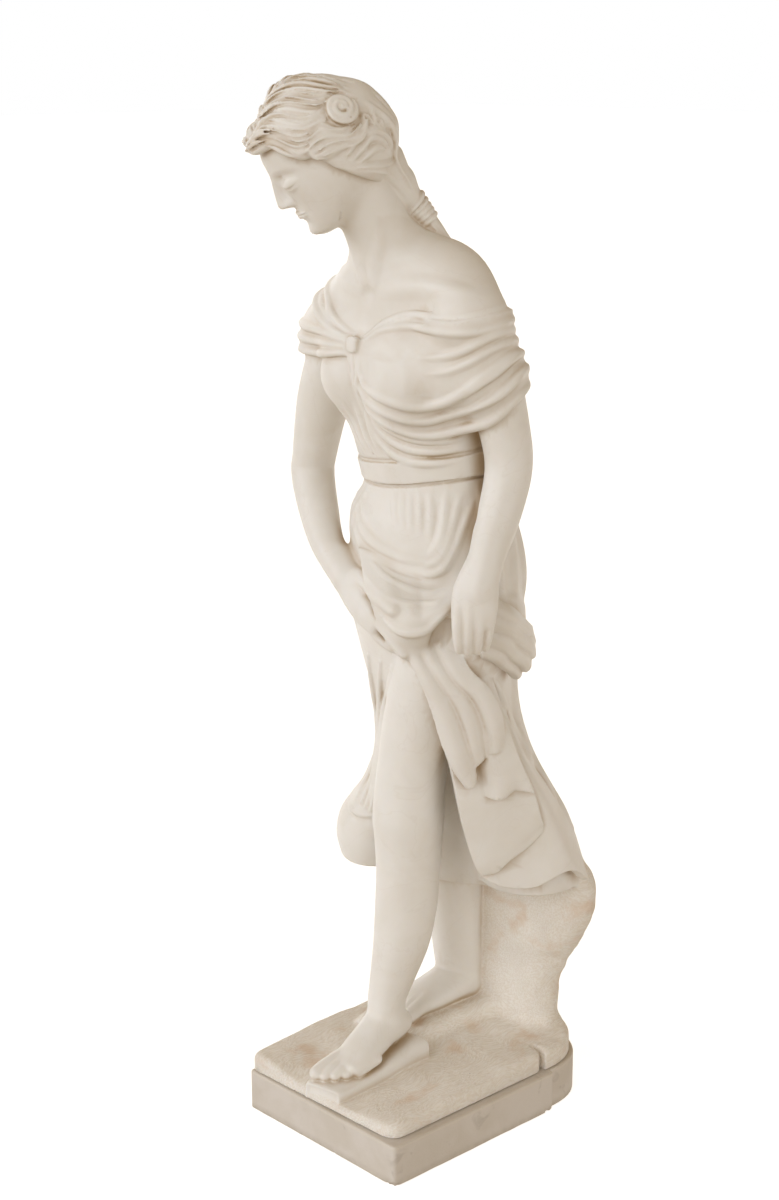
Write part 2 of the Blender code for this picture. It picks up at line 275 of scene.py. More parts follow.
# Level ovals of x, z, y and the half widths: the broken rock behind her, then its web to her right leg.
ROCK = [
    (0.030, 0.070, 0.230, 0.060, 0.040), (0.030, 0.150, 0.231, 0.062, 0.041),
    (0.034, 0.200, 0.233, 0.074, 0.043),
    (0.043, 0.240, 0.235, 0.090, 0.045), (0.050, 0.290, 0.237, 0.105, 0.047),
    (0.050, 0.340, 0.235, 0.103, 0.046),
    (0.042, 0.390, 0.218, 0.084, 0.038), (0.030, 0.450, 0.204, 0.066, 0.034),
]
ROCK_WEB = [
    (-0.022, 0.070, 0.215, 0.060, 0.040), (-0.020, 0.200, 0.212, 0.052, 0.036),
    (-0.015, 0.300, 0.210, 0.052, 0.036),
    (-0.010, 0.450, 0.196, 0.050, 0.034),
]

AXIS = (0.010, 0.015)  # x and y of the upright line that folds on the body are set out about
SLEEVE = [
    (-0.146, 0.010, 1.132, 0.036, 0.048), (-0.124, -0.002, 1.158, 0.038, 0.048),
    (-0.066, -0.026, 1.166, 0.042, 0.046), (0.000, -0.032, 1.136, 0.044, 0.050),
    (0.076, -0.024, 1.130, 0.056, 0.052), (0.130, -0.006, 1.128, 0.060, 0.052),
    (0.146, 0.012, 1.110, 0.050, 0.048),
]
SHAWL = [
    (0.140, 0.014, 1.120, 0.046, 0.040), (0.090, 0.040, 1.135, 0.046, 0.036),
    (0.000, 0.046, 1.140, 0.050, 0.036), (-0.080, 0.036, 1.140, 0.044, 0.034),
    (-0.136, 0.012, 1.132, 0.036, 0.038),
]
# Cloth at her left side is set out in a turned frame: u runs along (0.687, 0.727), and d is the depth along
# (-0.727, 0.687).
SIDE, DEPTH = np.array((0.687, 0.727, 0.0)), np.array((-0.727, 0.687, 0.0))
SKIRT_LEFT = [  # u, z, d, half width along u, half depth
    (0.080, 0.800, 0.028, 0.064, 0.082), (0.091, 0.730, 0.036, 0.070, 0.092),
    (0.096, 0.660, 0.036, 0.062, 0.088), (0.107, 0.608, 0.046, 0.057, 0.084),
    (0.125, 0.550, 0.056, 0.056, 0.080), (0.146, 0.500, 0.066, 0.060, 0.078),
    (0.170, 0.444, 0.076, 0.070, 0.080),
    (0.186, 0.385, 0.082, 0.077, 0.084), (0.190, 0.340, 0.084, 0.076, 0.082),
]
SKIRT_BACK = [
    (0.056, 0.800, 0.040, 0.078, 0.076), (0.062, 0.760, 0.056, 0.083, 0.082),
    (0.066, 0.720, 0.070, 0.086, 0.082),
    (0.068, 0.640, 0.088, 0.082, 0.080), (0.084, 0.550, 0.118, 0.086, 0.082),
    (0.106, 0.460, 0.140, 0.098, 0.085), (0.120, 0.390, 0.148, 0.110, 0.088),
    (0.124, 0.330, 0.150, 0.106, 0.084),
]
SKIRT_RIGHT = [
    (0.000, 0.790, 0.050, 0.054, 0.068), (-0.006, 0.730, 0.070, 0.058, 0.080),
    (0.006, 0.640, 0.080, 0.052, 0.074), (0.010, 0.600, 0.086, 0.046, 0.072),
    (0.012, 0.550, 0.091, 0.049, 0.066), (0.007, 0.500, 0.095, 0.056, 0.058),
    (-0.006, 0.470, 0.098, 0.057, 0.052),
    (-0.020, 0.450, 0.100, 0.058, 0.048), (-0.026, 0.438, 0.100, 0.054, 0.044),
]
UNDERSKIRT = [
    (-0.002, 0.530, 0.112, 0.038, 0.040), (-0.015, 0.480, 0.118, 0.044, 0.052),
    (-0.030, 0.448, 0.123, 0.050, 0.063), (-0.040, 0.424, 0.125, 0.054, 0.067),
    (-0.043, 0.392, 0.127, 0.056, 0.065), (-0.042, 0.362, 0.130, 0.051, 0.058),
    (-0.042, 0.354, 0.131, 0.046, 0.053),
]


def column(rows, turn=True):
    """Level ovals one over another, from rows of u, z, d and the two half widths: closed flat at both ends.
    Unturned, the rows are x, z, y and the half widths."""
    rows = smooth_path(rows, 8 * len(rows))[::-1, None]
    t = np.linspace(0, 2 * np.pi, 96, endpoint=False)[None]
    u, d = rows[..., 0] + rows[..., 3] * np.cos(t), rows[..., 2] + rows[..., 4] * np.sin(t)
    points = np.stack([u, rows[..., 1] + 0 * t, d], -1)
    return closed(turned(points) if turn else points[..., [0, 2, 1]])


def turned(rows):
    """Rows of (u, z, d, ...) in the turned frame as rows of (x, y, z, ...)."""
    rows = np.asarray(rows, float)
    point = rows[..., :1] * SIDE + rows[..., 2:3] * DEPTH + rows[..., 1:2] * (0, 0, 1)
    return np.concatenate([point, rows[..., 3:]], -1)


def patch(control, n, m):
    """A smooth grid through a coarse grid of control rows: Catmull-Rom curves along both directions."""
    control = np.asarray(control, float)
    a, b, c = control.shape
    lines = smooth_path(control.reshape(a, b * c), n).reshape(n, b, c)
    return smooth_path(lines.transpose(1, 0, 2).reshape(b, n * c), m).reshape(m, n, c).transpose(1, 0, 2)


def side_folds(block, first, last, count, size, lift, blend=0.004, taper=0.5, ends=0.3, steps=50,
               cut=False):
    """Folds or, with cut, valleys between two paths of (u, z), laid on the marble along DEPTH. Path t is
    first (1 - t) + last t, and its bead is sunk so that `lift` of its radius `size` shows."""
    first, last = np.asarray(first, float), np.asarray(last, float)
    beads = []
    for t in np.linspace(0, 1, count):
        rows = smooth_path(first * (1 - t) + last * t, steps)
        start = rows[:, :1] * SIDE + rows[:, 1:2] * (0, 0, 1) - 0.35 * DEPTH
        met = block.land(start, DEPTH, reach=0.7)
        met = met[np.linalg.norm(met - start, axis=1) < 0.66]
        if len(met) < 6:
            continue
        for _ in range(3):
            met[1:-1] = (met[:-2] + 2 * met[1:-1] + met[2:]) / 4
        sink = (lift - size) if cut else (size - lift)
        beads.append(cord(met + sink * DEPTH, size, taper, ends))
    for bead in beads:
        (block.cut if cut else block.add)(bead, blend)


def around(path, height_axis=AXIS, count=40, start=0.30, block=None):
    """Points on the marble under a path of (angle, height). The angle is in degrees from -Y towards +X,
    about the upright line through height_axis."""
    rows = smooth_path(path, count)
    turn = np.radians(rows[:, 0])
    out = np.stack([np.sin(turn), -np.cos(turn), np.zeros(count)], -1)
    centre = np.array((*height_axis, 0.0)) + rows[:, 1:2] * (0, 0, 1)
    met = block.land(centre + start * out, -out)
    for _ in range(max(3, count // 8)):
        met[1:-1] = (met[:-2] + 2 * met[1:-1] + met[2:]) / 4
    return met, out


def folds(block, first, last, count, size, lift, blend=0.004, axis=AXIS, start=0.30, taper=0.5, ends=0.3,
          ease=None, steps=40):
    """A family of raised folds between two paths of (angle, height): each is a bead of radius `size`, sunk
    so that `lift` of it shows. Path t is first (1 - t) + last t, at even steps of t or at those in `ease`."""
    first, last = np.asarray(first, float), np.asarray(last, float)
    beads = []
    for t in (np.linspace(0, 1, count) if ease is None else ease):
        met, out = around(first * (1 - t) + last * t, axis, steps, start, block)
        found = block.depth(met) < 0.004
        if found.sum() > 8:
            beads.append(cord((met - (size - lift) * out)[found], size, taper, ends))
    for bead in beads:
        block.add(bead, blend)


def groove(block, path, size, bite, blend=0.003, start=0.30, taper=0.5, ends=0.2, steps=40):
    """A valley cut along a path, `bite` deep, by a bead of radius `size`."""
    met, out = around(path, AXIS, steps, start, block)
    block.cut(cord(met + (size - bite) * out, size, taper, ends), blend)


def dress(block, hem, neck, thick, soft):
    """Thickens the marble between two closed lines of (angle, height) by `thick`, as cloth over skin: by
    thick * s * s * (3 - 2 s), where s goes from 0 at either line to 1 at `soft` within it."""
    hem, neck = np.asarray(hem, float), np.asarray(neck, float)
    low, high = hem[:, 1].min() - 0.01, neck[:, 1].max() + 0.01
    k0, k1 = (np.array([low, high]) / block.pitch - block.low[2]).astype(int)
    x = (np.arange(block.size[0]) + block.low[0])[:, None] * block.pitch - AXIS[0]
    y = (np.arange(block.size[1]) + block.low[1])[None] * block.pitch - AXIS[1]
    turn = np.degrees(np.arctan2(x, -y))
    z = (np.arange(k0, k1) + block.low[2]) * block.pitch
    bottom = np.interp(turn, hem[:, 0], hem[:, 1], period=360)[..., None]
    top = np.interp(turn, neck[:, 0], neck[:, 1], period=360)[..., None]
    mask = np.clip((z - bottom) / soft, 0, 1) * np.clip((top - z) / soft, 0, 1)
    block.field[:, :, k0:k1] -= (thick * mask * mask * (3 - 2 * mask)).astype(np.float32)


def carve_body(m):
    """Trunk, shoulders, neck, breasts and hips, run into one another."""
    m.add(limb(TORSO, around=96), 0.0)
    m.add(limb(SHOULDERS, across=(0, 0, 1)), 0.030)
    m.add(limb(NECK), 0.022)
    for x, y in ((0.054, -0.040), (-0.050, -0.034)):
        m.add(ball((x, y, 1.102), (0.053, 0.054, 0.054)), 0.020)
    for x in (0.058, -0.048):
        m.add(ball((x, 0.088, 0.815), (0.064, 0.060, 0.088)), 0.025)


def carve_neck(m):
    """The two tendons that run to the pit of the neck, the pit itself and the collarbones."""
    for path in ([(13, 1.302), (8, 1.262), (5, 1.224)], [(-16, 1.292), (-8, 1.256), (-3, 1.222)]):
        folds(m, path, path, 1, 0.0080, 0.0018, 0.008, taper=0.5, ends=0.2)
    for path in ([(11, 1.220), (34, 1.226), (57, 1.231), (74, 1.222)],
                 [(-9, 1.222), (-30, 1.230), (-58, 1.240)]):
        folds(m, path, path, 1, 0.0110, 0.0008, 0.012, taper=0.5, ends=0.1)
    pit = [(0, 1.226), (1, 1.216), (1, 1.206)]
    groove(m, pit, 0.0110, 0.0020, 0.008, taper=0.5, ends=0.3)


NECKLINE = [
    (-7, 1.156), (4, 1.163), (14, 1.177), (30, 1.190), (46, 1.196), (61, 1.195), (76, 1.204), (91, 1.208),
    (110, 1.200), (135, 1.188), (160, 1.180), (185, 1.184), (210, 1.196), (235, 1.210), (252, 1.222),
    (270, 1.226), (284, 1.216), (300, 1.202), (316, 1.187), (329, 1.170), (342, 1.160), (353, 1.156),
]
CAPE_HEM = [
    (-15, 1.132), (-9, 1.090), (1, 1.062), (23, 1.045), (44, 1.034), (65, 1.033), (80, 1.044), (88, 1.074),
    (97, 1.098), (112, 1.100), (135, 1.085), (180, 1.080), (225, 1.090), (262, 1.112), (292, 1.122),
    (320, 1.126), (345, 1.132),
]


def carve_bodice(m):
    """The shawl and the bodice: cloth laid on the body, its swags and gathers, then the brooch."""
    # the armpit is filled, so that the cape bridges it
    m.add(ball((0.112, 0.004, 1.068), (0.026, 0.026, 0.024)), 0.012)
    dress(m, CAPE_HEM, NECKLINE, 0.0055, soft=0.003)
    # neckline roll and the second roll under it
    left = [p for p in NECKLINE if -8 < p[0] < 262]
    folds(m, left, left, 1, 0.0062, 0.0054, 0.0015, taper=0.3, ends=0.5, steps=90)
    second = [(3, 1.158), (18, 1.172), (39, 1.180), (55, 1.180), (69, 1.180), (84, 1.190), (98, 1.190),
              (120, 1.180), (150, 1.166)]
    folds(m, second, second, 1, 0.0065, 0.0052, 0.003, steps=60)
    # short folds that run out on the breast
    folds(m, [(48, 1.143), (57, 1.145), (66, 1.154), (75, 1.172), (86, 1.180), (104, 1.172), (130, 1.160)],
          [(52, 1.123), (61, 1.128), (70, 1.142), (79, 1.160), (92, 1.165), (108, 1.155), (130, 1.142)],
          2, 0.0072, 0.0056, 0.004, taper=0.6, ends=0.15, steps=50)
    # swags from the placket under the left breast and up over the arm
    folds(m, [(-1, 1.135), (2, 1.106), (22, 1.090), (45, 1.077), (62, 1.086), (74, 1.120), (88, 1.148),
              (108, 1.140),
              (130, 1.126)],
          [(-10, 1.100), (-2, 1.070), (21, 1.050), (43, 1.038), (64, 1.037), (80, 1.052), (88, 1.088),
           (102, 1.106),
              (122, 1.102)],
          3, 0.0082, 0.0064, 0.003, taper=0.35, ends=0.35, steps=70, ease=(0.0, 0.5, 1.0))
    folds(m, [(66, 1.106), (76, 1.136), (90, 1.156), (112, 1.150)],
          [(74, 1.064), (82, 1.082), (94, 1.116), (112, 1.118)],
          2, 0.0062, 0.0046, 0.004, taper=0.7, ends=0.15, ease=(0.25, 0.75))
    # strap over the right shoulder and the right sleeve's folds
    folds(m, [(-13, 1.160), (-30, 1.170), (-46, 1.188), (-62, 1.210), (-80, 1.226), (-100, 1.222),
              (-125, 1.204)],
          [(-17, 1.158), (-36, 1.166), (-56, 1.184), (-74, 1.200), (-90, 1.208), (-108, 1.200),
           (-130, 1.184)],
          2, 0.0070, 0.0050, 0.003, taper=0.3, ends=0.5, steps=60)
    folds(m, [(-17, 1.152), (-42, 1.160), (-66, 1.160), (-90, 1.162), (-115, 1.164)],
          [(-17, 1.138), (-44, 1.130), (-68, 1.124), (-92, 1.120), (-116, 1.116)],
          3, 0.0072, 0.0058, 0.003, taper=0.35, ends=0.4, steps=50)
    # back of the shawl, in slack swags
    folds(m, [(118, 1.164), (150, 1.150), (180, 1.146), (215, 1.160), (246, 1.178)],
          [(118, 1.106), (150, 1.092), (180, 1.088), (215, 1.098), (246, 1.116)],
          4, 0.0080, 0.0045, 0.005, taper=0.5, ends=0.3, steps=60)
    # ribcage folds that gather towards the placket and run into the belt
    folds(m, [(0, 1.060), (10, 1.048), (28, 1.036), (50, 1.028), (70, 1.028), (84, 1.032)],
          [(-4, 1.052), (2, 1.028), (16, 1.010), (36, 0.998), (60, 0.996), (80, 0.999)],
          3, 0.0078, 0.0056, 0.003, start=0.125, taper=0.45, ends=0.2, steps=50, ease=(0.0, 0.48, 1.0))
    folds(m, [(-8, 1.070), (-6, 1.045), (-2, 1.020), (6, 1.000)],
          [(-40, 1.066), (-44, 1.040), (-38, 1.012), (-26, 0.994)],
          4, 0.0065, 0.0042, 0.004, start=0.14, taper=0.6, ends=0.2)
    # placket strips under the brooch
    folds(m, [(-15, 1.136), (-14, 1.110), (-12, 1.085), (-12, 1.060)],
          [(-3, 1.138), (-3, 1.112), (-6, 1.088), (-9, 1.064)],
          3, 0.0042, 0.0026, 0.002, start=0.2, taper=0.3, ends=0.5)
    # brooch: a soft square, |x|**n + |z|**n = 1 with n = 10 / 3, at four heights with their half widths
    at, out = around([(-8, 1.150), (-7.9, 1.150)], count=2, block=m)
    u = np.linspace(0, 2 * np.pi, 40, endpoint=False)
    x, z = np.sign(np.cos(u)) * np.abs(np.cos(u)) ** 0.6, np.sign(np.sin(u)) * np.abs(np.sin(u)) ** 0.6
    ring = x[:, None] * unit(np.cross(out[0], (0, 0, 1))) + z[:, None] * np.array((0, 0, 1.0))
    levels = [(-0.006, 0.0105), (0.002, 0.0110), (0.0045, 0.0100), (0.0055, 0.0075)]
    m.add(closed(np.array([at[0] + height * out[0] + half * ring for height, half in levels])), 0.0015)


def belt(m):
    """A flat band between two closed lines, with a valley cut along each of its edges."""
    top = [(-180, 1.008), (-120, 0.995), (-80, 0.986), (-49, 0.984), (6, 0.991), (40, 0.997), (78, 1.006),
           (110, 1.012)]
    low = [(-180, 0.972), (-120, 0.962), (-80, 0.957), (-49, 0.955), (0, 0.957), (36, 0.962), (67, 0.970),
           (100, 0.976)]
    dress(m, low, top, 0.0030, soft=0.0025)
    for line, off, bite in ((low, -0.001, 0.0022), (top, 0.001, 0.0015)):
        path = [(a, z + off) for a, z in line + [(180, line[0][1])]]
        groove(m, path, 0.003, bite, 0.001, start=0.118, taper=0.05, ends=1, steps=120)


CLOTH_1 = [  # rows run from the hand down to the hem, columns from the front edge back: u, z, d
    [(-.008, .770, -.084), (.002, .770, -.086), (.012, .770, -.086), (.024, .770, -.086),
     (.038, .770, -.086), (.054, .770, -.088), (.072, .766, -.086)],
    [(.008, .734, -.092), (.017, .733, -.100), (.027, .733, -.092), (.036, .734, -.101),
     (.048, .735, -.093), (.062, .736, -.102), (.080, .736, -.094)],
    [(.029, .693, -.098), (.040, .690, -.108), (.052, .692, -.097), (.060, .696, -.106),
     (.068, .700, -.095), (.078, .704, -.106), (.092, .712, -.094)],
    [(.041, .659, -.093), (.055, .656, -.105), (.070, .660, -.088), (.080, .666, -.103),
     (.092, .672, -.084), (.104, .676, -.100), (.116, .684, -.083)],
    [(.054, .612, -.086), (.072, .606, -.098), (.084, .622, -.080), (.092, .630, -.095),
     (.108, .634, -.075), (.120, .644, -.093), (.132, .650, -.076)],
    [(.070, .572, -.078), (.084, .564, -.089), (.096, .586, -.073), (.100, .592, -.087),
     (.114, .604, -.068), (.128, .612, -.085), (.137, .616, -.072)],
    [(.090, .540, -.072), (.096, .538, -.078), (.100, .558, -.068), (.107, .575, -.079),
     (.116, .583, -.065), (.128, .588, -.077), (.136, .594, -.067)],
]
CLOTH_2 = [
    [(.030, .700, -.080), (.060, .700, -.078), (.090, .702, -.072), (.108, .702, -.064),
     (.114, .700, -.050)],
    [(.060, .620, -.078), (.090, .620, -.072), (.116, .625, -.079), (.132, .630, -.074),
     (.140, .632, -.066)],
    [(.074, .574, -.072), (.098, .576, -.059), (.122, .576, -.070), (.146, .576, -.064),
     (.160, .580, -.060)],
    [(.088, .542, -.068), (.106, .534, -.052), (.132, .532, -.066), (.156, .540, -.056),
     (.174, .546, -.052)],
    [(.096, .534, -.066), (.112, .520, -.053), (.136, .514, -.063), (.156, .524, -.049),
     (.186, .518, -.046)],
]
CLOTH_3 = [
    [(.040, .655, -.058), (.080, .655, -.056), (.106, .655, -.050), (.124, .655, -.038),
     (.132, .655, -.020)],
    [(.066, .560, -.064), (.092, .560, -.058), (.120, .560, -.055), (.150, .556, -.047),
     (.170, .552, -.038)],
    [(.078, .500, -.060), (.102, .504, -.055), (.130, .504, -.048), (.162, .502, -.038),
     (.188, .506, -.032)],
    [(.088, .455, -.053), (.112, .460, -.050), (.136, .456, -.042), (.168, .452, -.031),
     (.196, .474, -.026)],
    [(.101, .412, -.044), (.124, .418, -.043), (.146, .424, -.036), (.172, .436, -.025),
     (.200, .462, -.021)],
    [(.111, .390, -.037), (.134, .395, -.035), (.152, .411, -.032), (.178, .427, -.021),
     (.199, .450, -.019)],
]
CLOTH_4 = [
    [(.050, .670, -.030), (.085, .670, -.028), (.112, .670, -.016), (.122, .670, .000), (.126, .670, .024)],
    [(.080, .560, -.036), (.120, .560, -.034), (.150, .560, -.028), (.166, .560, -.020),
     (.168, .560, .014)],
    [(.092, .480, -.034), (.130, .480, -.028), (.176, .490, -.022), (.200, .490, -.015),
     (.204, .500, .024)],
    [(.104, .415, -.032), (.140, .410, -.024), (.184, .410, -.016), (.226, .424, -.008),
     (.238, .436, .034)],
    [(.112, .384, -.026), (.146, .366, -.024), (.192, .363, -.014), (.238, .383, -.004),
     (.268, .356, .026)],
]


SWAG = [
    [(-0.058, 0.858, -0.014), (-0.030, 0.852, -0.044), (-0.009, 0.846, -0.058), (0.010, 0.843, -0.063),
     (0.028, 0.841, -0.065), (0.056, 0.846, -0.062), (0.096, 0.858, -0.052)],
    [(-0.050, 0.831, -0.056), (-0.022, 0.824, -0.088), (-0.003, 0.815, -0.097), (0.013, 0.810, -0.102),
     (0.028, 0.808, -0.103), (0.054, 0.815, -0.106), (0.096, 0.829, -0.106)],
    [(-0.039, 0.809, -0.075), (-0.013, 0.804, -0.104), (0.001, 0.798, -0.112), (0.013, 0.794, -0.118),
     (0.028, 0.792, -0.120), (0.050, 0.801, -0.122), (0.094, 0.814, -0.116)],
    [(-0.031, 0.785, -0.080), (-0.013, 0.781, -0.102), (-0.001, 0.776, -0.112), (0.013, 0.775, -0.116),
     (0.028, 0.776, -0.114), (0.046, 0.785, -0.102), (0.092, 0.799, -0.100)],
    [(-0.020, 0.758, -0.078), (-0.007, 0.757, -0.096), (0.002, 0.753, -0.100), (0.013, 0.751, -0.102),
     (0.026, 0.753, -0.100), (0.042, 0.758, -0.088), (0.080, 0.767, -0.084)],
    [(-0.006, 0.734, -0.070), (-0.001, 0.732, -0.076), (0.005, 0.729, -0.080), (0.013, 0.727, -0.082),
     (0.025, 0.730, -0.080), (0.040, 0.736, -0.080), (0.076, 0.742, -0.078)],
]
FAN = [
    [(0.110, 0.822, -0.115), (0.110, 0.803, -0.115), (0.110, 0.784, -0.112), (0.110, 0.764, -0.108),
     (0.108, 0.748, -0.104), (0.104, 0.735, -0.100)],
    [(0.142, 0.799, -0.096), (0.143, 0.787, -0.102), (0.142, 0.771, -0.100), (0.138, 0.752, -0.098),
     (0.132, 0.734, -0.092), (0.126, 0.721, -0.084)],
    [(0.160, 0.776, -0.066), (0.160, 0.767, -0.078), (0.157, 0.751, -0.080), (0.151, 0.733, -0.078),
     (0.144, 0.716, -0.070), (0.137, 0.705, -0.060)],
    [(0.174, 0.755, -0.042), (0.175, 0.748, -0.056), (0.173, 0.734, -0.060), (0.166, 0.718, -0.060),
     (0.156, 0.702, -0.050), (0.147, 0.693, -0.038)],
    [(0.178, 0.744, -0.030), (0.179, 0.737, -0.043), (0.178, 0.722, -0.047), (0.172, 0.706, -0.047),
     (0.162, 0.692, -0.038), (0.151, 0.684, -0.026)],
]


def calmed(rows, share):
    """The rows with only a share of each ridge left below the first row, to a tenth of a millimetre."""
    rows = np.array(rows)
    depth = line = rows[1:, :, 2]
    for _ in range(3):
        wide = np.concatenate([line[:, :1], line, line[:, -1:]], axis=1)
        line = (wide[:, :-2] + wide[:, 1:-1] + wide[:, 2:]) / 3
    calm = (line + share * (depth - line)).tolist()
    rows[1:, :, 2] = [[round(value, 4) for value in row] for row in calm]
    return rows


def carve_cascade(m):
    """The falling folds at her left side: four slabs, the hindmost first."""
    for rows, thick, blend in ((CLOTH_4, 0.012, 0.004), (CLOTH_3, 0.012, 0.002), (CLOTH_2, 0.012, 0.002),
                               (calmed(CLOTH_1, 0.55), 0.014, 0.002)):
        m.add(sheet(patch(turned(rows), 70, 70), thick), blend)


def carve_fan(m):
    """The gathered cloth that spreads from under the left hand: four lobes along its free edge."""
    grid = patch(turned(FAN), 60, 110)
    out = unit(np.gradient(grid, axis=0))
    v, w = np.linspace(0, 1, 60)[:, None, None], np.linspace(0, 1, 110)[None, :, None]
    lobe = np.abs(np.sin(4 * np.pi * w)) ** 0.55
    grid = grid + 0.021 * v**0.5 * (lobe - 0.7) * -DEPTH + 0.022 * v**2.5 * (lobe - 0.7) * out
    m.add(sheet(grid, 0.010), 0.0015)


def carve_swag(m):
    """The gathered cloth between the hands, with raised arcs on it and two valleys down its fall."""
    m.add(sheet(patch(turned(SWAG), 70, 80), 0.018), 0.008)
    arcs = [
        ([(-0.044, 0.853), (-0.019, 0.8365), (0.010, 0.825), (0.035, 0.8215), (0.058, 0.828)], 0.0050,
         0.0018),
        ([(-0.026, 0.848), (-0.004, 0.838), (0.021, 0.833), (0.044, 0.834), (0.060, 0.840)], 0.0045,
         0.0015),
        ([(-0.052, 0.838), (-0.030, 0.822), (-0.006, 0.812), (0.020, 0.809), (0.046, 0.813),
          (0.060, 0.821)], 0.0050, 0.0018),
        ([(-0.030, 0.790), (-0.010, 0.776), (0.010, 0.772), (0.031, 0.777), (0.047, 0.793), (0.066, 0.809)],
         0.0075, 0.0060),
    ]
    for path, size, lift in arcs:
        side_folds(m, path, path, 1, size, lift, 0.003, taper=0.45, ends=0.15, steps=60)
    side_folds(m, [(0.038, 0.748), (0.046, 0.762), (0.053, 0.778), (0.059, 0.794)],
               [(0.054, 0.748), (0.057, 0.762), (0.060, 0.776), (0.062, 0.788)],
               2, 0.0080, 0.0070, 0.004, taper=0.5, ends=0.3, cut=True)


LEFT_PALM = [  # u, z, d, half width, half thickness
    (0.1165, 0.905, -0.118, 0.0225, 0.0240), (0.1095, 0.880, -0.134, 0.0215, 0.0210),
    (0.1020, 0.858, -0.143, 0.0260, 0.0185),
    (0.0965, 0.835, -0.148, 0.0305, 0.0170), (0.0945, 0.812, -0.151, 0.0305, 0.0150),
    (0.0935, 0.796, -0.152, 0.0285, 0.0125),
]
LEFT_FINGERS = [
    [(0.0735, 0.818, -0.154, 0.0085), (0.0722, 0.795, -0.158, 0.0080), (0.0735, 0.772, -0.155, 0.0075),
     (0.0755, 0.756, -0.147, 0.0066)],
    [(0.0880, 0.818, -0.157, 0.0085), (0.0867, 0.795, -0.160, 0.0080), (0.0865, 0.772, -0.157, 0.0075),
     (0.0872, 0.754, -0.148, 0.0066)],
    [(0.1020, 0.818, -0.155, 0.0084), (0.1010, 0.795, -0.158, 0.0078), (0.0998, 0.772, -0.154, 0.0073),
     (0.0990, 0.754, -0.145, 0.0064)],
    [(0.1155, 0.818, -0.149, 0.0080), (0.1148, 0.796, -0.151, 0.0074), (0.1125, 0.774, -0.147, 0.0070),
     (0.1098, 0.757, -0.139, 0.0060)],
]
RIGHT_PALM = [
    (-0.084, -0.042, 0.832, 0.0225, 0.0215), (-0.060, -0.050, 0.817, 0.0235, 0.0200),
    (-0.040, -0.056, 0.802, 0.0255, 0.0185),
    (-0.014, -0.063, 0.789, 0.0265, 0.0180), (0.010, -0.068, 0.777, 0.0235, 0.0165),
    (0.024, -0.070, 0.769, 0.0180, 0.0140),
]
RIGHT_FINGERS = [
    [(0.022, -0.074, 0.783, 0.0095), (0.052, -0.076, 0.762, 0.0085), (0.066, -0.072, 0.747, 0.0080),
     (0.073, -0.068, 0.736, 0.0070)],
    [(-0.001, -0.069, 0.773, 0.0095), (0.024, -0.069, 0.752, 0.0088), (0.044, -0.063, 0.739, 0.0078)],
    [(-0.016, -0.058, 0.770, 0.0090), (0.010, -0.056, 0.748, 0.0085), (0.028, -0.050, 0.738, 0.0075)],
    [(-0.028, -0.048, 0.772, 0.0082), (-0.006, -0.044, 0.752, 0.0078), (0.012, -0.036, 0.742, 0.0068)],
]
RIGHT_THUMB = [
    (-0.050, -0.050, 0.822, 0.0130), (-0.006, -0.062, 0.822, 0.0125), (0.024, -0.078, 0.817, 0.0105),
    (0.046, -0.086, 0.812, 0.0098),
    (0.062, -0.087, 0.806, 0.0092), (0.074, -0.088, 0.801, 0.0080),
]


def carve_hands(m):
    """Each hand is a palm with a short limb for every finger."""
    m.add(limb(turned(LEFT_PALM), across=SIDE), 0.008)
    for rows in LEFT_FINGERS:
        m.add(limb(turned(rows), across=SIDE, around=24), 0.0034)
    m.add(limb(RIGHT_PALM, across=(0.35, 0.0, 0.9)), 0.008)
    for rows in RIGHT_FINGERS:
        m.add(limb(rows, around=24), 0.0036)
    m.add(limb(RIGHT_THUMB, around=24), 0.005)


# The head stands in its own frame: x to her left, y forward, z up, turned and bowed about its middle.
HEAD = np.array((-0.020, -0.122, 1.412))
FORWARD, CROWN = np.array((-0.433, -0.750, -0.500)), np.array((-0.250, -0.433, 0.866))
HEAD_FRAME = np.stack([np.cross(CROWN, FORWARD), FORWARD, CROWN])
HAIR = np.array((0.0775, 0.0975, 0.0905))
FACE = [  # up, middle forward, half width, half depth
    (0.062, -0.004, 0.0300, 0.0400), (0.050, -0.004, 0.0500, 0.0650), (0.036, -0.005, 0.0620, 0.0800),
    (0.018, -0.004, 0.0665, 0.0850),
    (-0.004, -0.003, 0.0670, 0.0820), (-0.026, 0.001, 0.0640, 0.0755), (-0.047, 0.009, 0.0575, 0.0640),
    (-0.066, 0.020, 0.0480, 0.0510), (-0.082, 0.031, 0.0365, 0.0385), (-0.093, 0.039, 0.0260, 0.0275),
    (-0.100, 0.043, 0.0120, 0.0130),
]
# swellings and hollows of the face in millimetres: aside, up, half width, half height, rise
FEATURES = [
    (0, -61, 20, 13, 3.0), (0, -91, 15, 10, 4.5), (0, -76, 14, 5, -1.8), (36, -36, 18, 15, 2.0),
    (18.5, -10, 7.5, 7, -4.6),
    (36, -8, 12, 6, -1.6), (62, 5, 14, 16, -2.0), (22.5, -62, 5, 4, -1.0), (21, -51, 6, 9, -0.9),
    (0, 22, 26, 14, 1.0),
    (9.2, -43, 4.8, 5.2, 5.0), (15, -43, 2.6, 5, -1.2), (0, -53, 2.6, 4.5, -1.1), (0, -58, 3.0, 2.0, -0.6),
]
NOSE = [(14, 0.0, 11.0), (4, 2.2, 8.0), (-5, 4.8, 6.2), (-14, 8.6, 5.4), (-25, 13.0, 5.6), (-34, 16.6, 6.8),
        (-40, 18.2, 8.0),
        (-44.5, 16.0, 8.2), (-47.5, 8.0, 7.8), (-50.5, 1.5, 7.0), (-54, 0.0, 7.0)]  # up, rise, half width


